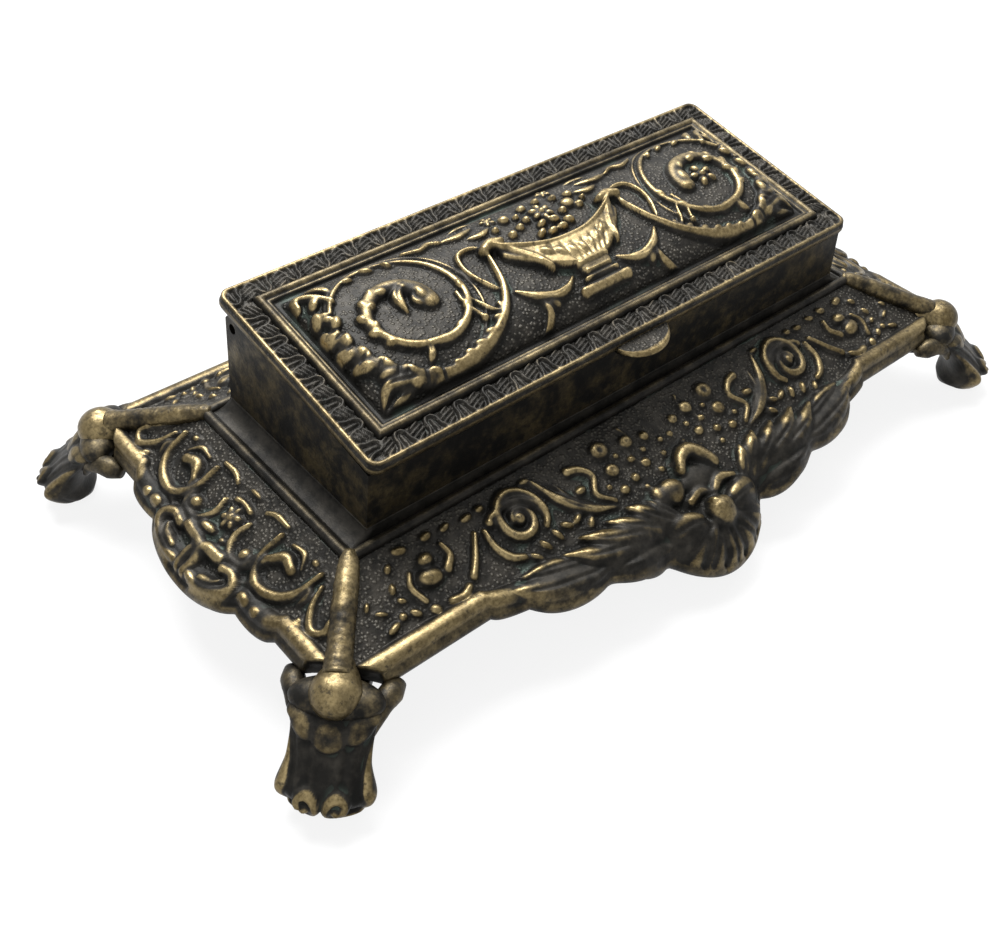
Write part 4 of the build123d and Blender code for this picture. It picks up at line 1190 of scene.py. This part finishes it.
def draw_foot():
    """Rolled edges, volutes, grooves and lobes over a leg seen from outside: x across, y up."""
    r = Relief(-10, 10, -1, 19, 0.12)
    for side in (-1, 1):
        r.line(
            [
                (side * 7.0, 13.4), (side * 6.0, 9.4), (side * 6.2, 6.8), (side * 6.8, 4.8),
                (side * 5.6, 2.6), (side * 3.0, 1.2), (side * 0.4, 0.8),
            ],
            [0.4, 0.5, 0.8, 0.95, 0.95, 0.9, 0.8], [0.4, 0.6, 1.0, 1.3, 1.2, 1.2, 1.0],
        )
        r.line(
            [
                (side * 4.6, 2.4), (side * 2.6, 2.6), (side * 1.0, 3.8), (side * 0.9, 5.5),
                (side * 2.1, 6.5), (side * 3.4, 5.8), (side * 3.2, 4.6),
            ],
            [0.6, 0.75, 0.8, 0.75, 0.7, 0.7, 0.6], 1.6,
        )
        r.oval(side * 2.2, 4.8, 0.9, 0.9, 1.9)
        r.line([(side * 4.4, 11.4), (side * 3.6, 9.0), (side * 4.0, 6.6)], [0.4, 0.7, 0.3], 0.3)
        r.line([(side * 2.2, 11.0), (side * 1.8, 9.0), (side * 2.0, 6.6)], [0.4, 0.7, 0.3], 0.28)
        r.oval(side * 4.0, 12.9, 2.2, 1.6, 1.1, side * 0.3, 0.45)
        r.line([(side * 5.0, 13.6), (side * 6.6, 13.8), (side * 7.6, 14.8)], [0.9, 1.0, 0.7], 0.8)
    r.oval(0, 12.4, 2.9, 1.9, 1.3, 0, 0.4)
    r.oval(0, 1.0, 1.7, 1.2, 1.1, 0, 0.5)
    return r


class INKWELL_OT_feet(bpy.types.Operator):
    """Four cast feet, each a fluted leg with volutes, a collar, a knuckle and a lug"""

    bl_idname = "inkwell.feet"
    bl_label = "Feet"

    def execute(self, context):
        _, look = user_settings(context)
        brass = cast_brass("foot_brass", look, 0.04, 0.0, 1.0, gold=0.6)
        relief = draw_foot()
        relief.high = soften(relief.high, 1)
        rub, shade_and_verdigris, _ = relief.marks(0.9)
        z = np.linspace(0, LEG_TOP, 110)
        curve = smooth_line(LEG_SECTIONS, 0.05)
        s, a, b = (np.interp(z, curve[:, 0], curve[:, k]) for k in (1, 2, 3))
        ease = np.sqrt(np.clip(z / 1.6, 0, 1)) * 0.5 + 0.5
        ease = ease * np.sqrt(np.clip((16.0 - z) / 2.6, 0.05, 1))
        a, b = a * ease, b * ease
        angle = np.linspace(0, 2 * pi, 150, endpoint=False)
        co, si = np.cos(angle)[None], np.sin(angle)[None]
        across = b[:, None] * np.sign(si) * np.abs(si) ** 0.9
        level = z[:, None] + 0 * si
        front = np.clip(co * 1.6 + 0.35, 0, 1)
        lift = relief.sample(relief.high, across, level) * front * np.clip(level / 0.8, 0.25, 1) * 0.8
        nx, ny = co / a[:, None], si / b[:, None]
        size = np.hypot(nx, ny)
        out = s[:, None] + a[:, None] * co + lift * nx / size
        across = across + lift * ny / size
        marks = (relief.sample(rub, across, level) * front, relief.sample(shade_and_verdigris, across, level) * front, 0.0)
        for name, sx, sy in (
            ("foot_front_left", -1, -1), ("foot_front_right", 1, -1), ("foot_rear_left", -1, 1),
            ("foot_rear_right", 1, 1),
        ):
            way = np.array([sx * cos(FOOT_TURN), sy * sin(FOOT_TURN), 0])
            side = np.array([-way[1], way[0], 0]) * sx * sy
            origin = np.array([sx * KNUCKLE[0], sy * KNUCKLE[1], 0])

            def at(o, w, h):
                o, w, h = np.broadcast_arrays(o, w, h)
                rise = h[..., None] * np.array([0, 0, 1.0])
                return origin + o[..., None] * way + w[..., None] * side + rise

            shell = Shell()
            index = shell.grid(at(out, across, level), marks, wrap=True)
            shell.cap_both(index)
            # Shoulder under the knuckle, then the knuckle itself
            shell.ball(
                at(-0.4, 0.0, LEG_TOP - 1.0), [3.6 * way, 7.2 * side, (0, 0, 2.6)], (0.3, 0, 0), 16, 40,
            )
            shell.ball(
                at(-0.4, 0.0, LEG_TOP + 0.25), [4.1 * way, 4.0 * side, (0, 0, 3.7)], (0.6, 0, 0), 20,
                32, teardrop,
            )
            for w in (-1, 1):
                ear = np.array(
                    [
                        at(o, w * p, q)
                        for o, p, q in smooth_line(
                            [(2.2, 5.2, 9.4), (0.6, 6.0, 12.0), (-1.8, 6.6, 13.0), (-5.6, 8.2, 12.8)],
                            0.5,
                        )
                    ]
                )
                shell.tube(ear, [0.5, 1.3, 1.8, 1.9, 1.0], 20, (0.35, 0, 0))
            # Lug under the tray
            top, low = LEG_TOP - 3.8, LEG_TOP - 6.4
            a2 = np.linspace(0, 2 * pi, 48, endpoint=False)
            lug_out = -3.4 + 5.0 * np.sign(np.cos(a2)) + 3.5 * np.cos(a2)
            rings = np.stack(
                [
                    at(lug_out, 3.5 * np.sin(a2) * k, np.full(48, h))
                    for k, h in ((0.94, low), (1, low + 0.3), (1, top - 0.3), (0.94, top))
                ]
            )
            index = shell.grid(rings, (0.1, 0, 0), wrap=True)
            shell.cap_both(index)
            shell.build(name + "_cast", brass, "stand", [name])
        return {"FINISHED"}


# =============================================================================================
# Casket, fittings and ink pots
# =============================================================================================
class INKWELL_OT_casket(bpy.types.Operator):
    """Patina of the casket's plain walls, darkened as painted shade under the lid"""

    bl_idname = "inkwell.casket"
    bl_label = "Casket"

    def execute(self, context):
        _, look = user_settings(context)
        # tone 0.35 darkens the patina as painted shade for the walls under the lid's overhang.
        walls = cast_brass("casket_brass", look, 0.36, 0.0, 1.4, gold=0.3, tone=0.35)
        paint(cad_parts["casket"], walls)
        return {"FINISHED"}


def paint(thing, material):
    """Gives a CAD node its finish."""
    thing.data.materials.clear()
    thing.data.materials.append(material)


def worked_brass(name, look, scale):
    """Plain brass, dull and lightly scratched."""
    made = bpy.data.materials.new(name)
    tree = Finish(made)
    place = tree.place()
    cloud = tree.noise(place, 140.0, 5.0)
    stretched = tree.add("ShaderNodeMapping", {}, {"Vector": place, "Scale": scale})
    scratch = tree.noise(stretched, 600.0, 3.0)
    colour = tree.mix(
        cloud.between(0.35, 0.7), rgba([0.35 * c for c in look.plain_brass]), rgba(look.plain_brass),
    )
    bump = tree.add("ShaderNodeBump", {}, {"Strength": 0.35, "Distance": 0.00006, "Height": scratch})
    tree.end(
        tree.add(
            "ShaderNodeBsdfPrincipled", {},
            {"Base Color": colour, "Metallic": 0.9, "Roughness": 0.3 + 0.25 * cloud, "Normal": bump},
        )
    )
    return made


class INKWELL_OT_fittings(bpy.types.Operator):
    """Finish of the hinge pin, base plate, screws and partitions"""

    bl_idname = "inkwell.fittings"
    bl_label = "Fittings"

    def execute(self, context):
        _, look = user_settings(context)
        turned = worked_brass("turned_brass", look, (6.0, 1.0, 1.0))
        sheet = worked_brass("sheet_brass", look, (1.0, 8.0, 1.0))
        for node in ("hinge_pin", "foot_screws", "plate_screws"):
            paint(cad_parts[node], turned)
        for node in ("base_plate", "partition_left", "partition_right"):
            paint(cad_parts[node], sheet)
        return {"FINISHED"}


class INKWELL_OT_pots(bpy.types.Operator):
    """Glass ink pots and the ink in them"""

    bl_idname = "inkwell.pots"
    bl_label = "Ink pots"

    def execute(self, context):
        sizes, look = user_settings(context)
        glass = bpy.data.materials.new("pot_glass")
        tree = Finish(glass)
        ripple = tree.noise(tree.place(), 160.0, 2.0)
        bump = tree.add("ShaderNodeBump", {}, {"Strength": 0.25, "Distance": 0.0003, "Height": ripple})
        tree.end(tree.add("ShaderNodeBsdfPrincipled", {}, {
            "Base Color": tree.mix(ripple, rgba(look.glass), (1.0, 1.0, 1.0, 1.0)),
            "Roughness": 0.04 + 0.05 * ripple,
            "Transmission Weight": 1.0,
            "IOR": 1.5,
            "Normal": bump,
        }))
        ink = bpy.data.materials.new("ink")
        tree = Finish(ink)
        wet = tree.noise(tree.place(), 90.0, 2.0)
        tree.end(
            tree.add(
                "ShaderNodeBsdfPrincipled", {},
                {
                    "Base Color": tree.mix(wet, rgba(look.ink), (0.01, 0.012, 0.03, 1.0)),
                    "Roughness": 0.05 + 0.05 * wet,
                },
            )
        )
        for side in ("left", "right"):
            node = "ink_pot_" + side
            paint(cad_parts[node], glass)
            low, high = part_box(node)
            middle = (low + high) * 500
            a = np.linspace(0, 2 * pi, 72, endpoint=False)
            square = (np.abs(np.cos(a)) ** 6 + np.abs(np.sin(a)) ** 6) ** (-1 / 6)
            floor, level = low.z * 1000 + 3.02, low.z * 1000 + 3 + sizes.ink_level * 1000
            rings = []
            for half, z in (
                (11.6, floor), (12.22, floor + 0.5), (12.26, level + 0.45), (11.9, level + 0.12),
                (11.0, level),
            ):
                rings.append(
                    np.stack(
                        [
                            middle.x + half * square * np.cos(a), middle.y + half * square * np.sin(a),
                            np.full(72, z),
                        ],
                        -1,
                    )
                )
            shell = Shell()
            index = shell.grid(np.stack(rings), wrap=True)
            shell.cap_both(index)
            shell.build("ink_" + side, ink, "stand")
        return {"FINISHED"}


# =============================================================================================
# Stage
# =============================================================================================
def aim(thing, place, azimuth, elevation, roll=0.0):
    """Turns a camera or lamp at `place` to look along a direction given in degrees."""
    a, e, t = radians(azimuth), radians(elevation), radians(roll)
    back = np.array([sin(a) * cos(e), -cos(a) * cos(e), sin(e)])
    right = np.cross((0, 0, 1), back)
    right /= np.linalg.norm(right)
    up = np.cross(back, right)
    turned = np.array([cos(t) * right + sin(t) * up, cos(t) * up - sin(t) * right, back])
    matrix = Matrix([[*turned[:, k], 0] for k in range(3)] + [[0, 0, 0, 1]])
    matrix.translation = place
    thing.matrix_world = matrix


class INKWELL_OT_stage(bpy.types.Operator):
    """Camera, soft lamps, pale floor and backdrop"""

    bl_idname = "inkwell.stage"
    bl_label = "Stage"

    def execute(self, context):
        _, look = user_settings(context)
        scene = context.scene
        camera = bpy.data.cameras.new("camera")
        camera.lens, camera.sensor_width, camera.clip_start = 42.515, 36.0, 0.01
        viewer = bpy.data.objects.new("camera", camera)
        scene.collection.objects.link(viewer)
        aim(viewer, (-0.12327, -0.12369, 0.15482), -42.086, 43.261, 2.705)
        scene.camera = viewer
        for name, azimuth, elevation, away, size, power in (
            ("key", 166.0, 60.0, 0.62, 0.4, 12.0),
            ("fill", -60.0, 35.0, 0.8, 0.7, 1.5),
            ("rim", 112.0, 58.0, 0.7, 0.5, 2.5),
        ):
            lamp = bpy.data.lights.new(name, "AREA")
            lamp.energy, lamp.size = power, size
            holder = bpy.data.objects.new(name, lamp)
            scene.collection.objects.link(holder)
            a, e = radians(azimuth), radians(elevation)
            back = (away * sin(a) * cos(e), -away * cos(a) * cos(e), away * sin(e) + 0.03)
            aim(holder, back, azimuth, elevation)
        floor = bpy.data.meshes.new("floor")
        floor.from_pydata([(-3, -3, 0), (3, -3, 0), (3, 3, 0), (-3, 3, 0)], [], [(0, 1, 2, 3)])
        pale = bpy.data.materials.new("pale_floor")
        tree = Finish(pale)
        matte = tree.add("ShaderNodeBsdfDiffuse", {}, {"Color": rgba(look.floor)})
        white = tree.add("ShaderNodeEmission", {}, {"Color": (1.0, 1.0, 1.0, 1.0), "Strength": 1.0})
        tree.end(tree.add("ShaderNodeMixShader", {}, {0: tree.seen() * 0.86, 1: matte, 2: white}))
        floor.materials.append(pale)
        ground = bpy.data.objects.new("floor", floor)
        scene.collection.objects.link(ground)
        world = bpy.data.worlds.new("studio")
        scene.world = world
        tree = Finish(world)
        light = {"Color": (1.0, 1.0, 1.0, 1.0), "Strength": 0.3 + 0.7 * tree.seen()}
        tree.end(tree.add("ShaderNodeBackground", {}, light), "ShaderNodeOutputWorld")
        scene.view_settings.view_transform = "Standard"
        return {"FINISHED"}


OPERATORS = (
    INKWELL_OT_stage,
    INKWELL_OT_casket,
    INKWELL_OT_lid,
    INKWELL_OT_tray,
    INKWELL_OT_feet,
    INKWELL_OT_fittings,
    INKWELL_OT_pots,
)


class INKWELL_PT_parts(bpy.types.Panel):
    """Buttons for each group of pieces, with the sizes and colours they use"""

    bl_label = "Inkwell"
    bl_idname = "INKWELL_PT_parts"
    bl_space_type = "VIEW_3D"
    bl_region_type = "UI"
    bl_category = "Inkwell"

    def draw(self, context):
        for operator in OPERATORS:
            self.layout.operator(operator.bl_idname)
        for group in user_settings(context):
            box = self.layout.box()
            for name in group.bl_rna.properties.keys():
                if name not in ("rna_type", "name"):
                    box.prop(group, name)


CLASSES = (InkwellSizes, InkwellLook, *OPERATORS, INKWELL_PT_parts)


def register():
    for made in CLASSES:
        bpy.utils.register_class(made)
    bpy.types.Scene.inkwell_sizes = PointerProperty(type=InkwellSizes)
    bpy.types.Scene.inkwell_look = PointerProperty(type=InkwellLook)


def unregister():
    del bpy.types.Scene.inkwell_look
    del bpy.types.Scene.inkwell_sizes
    for made in reversed(CLASSES):
        bpy.utils.unregister_class(made)


def main():
    register()
    for operator in OPERATORS:
        group, name = operator.bl_idname.split(".")
        getattr(getattr(bpy.ops, group), name)()


if __name__ == "__main__":
    main()
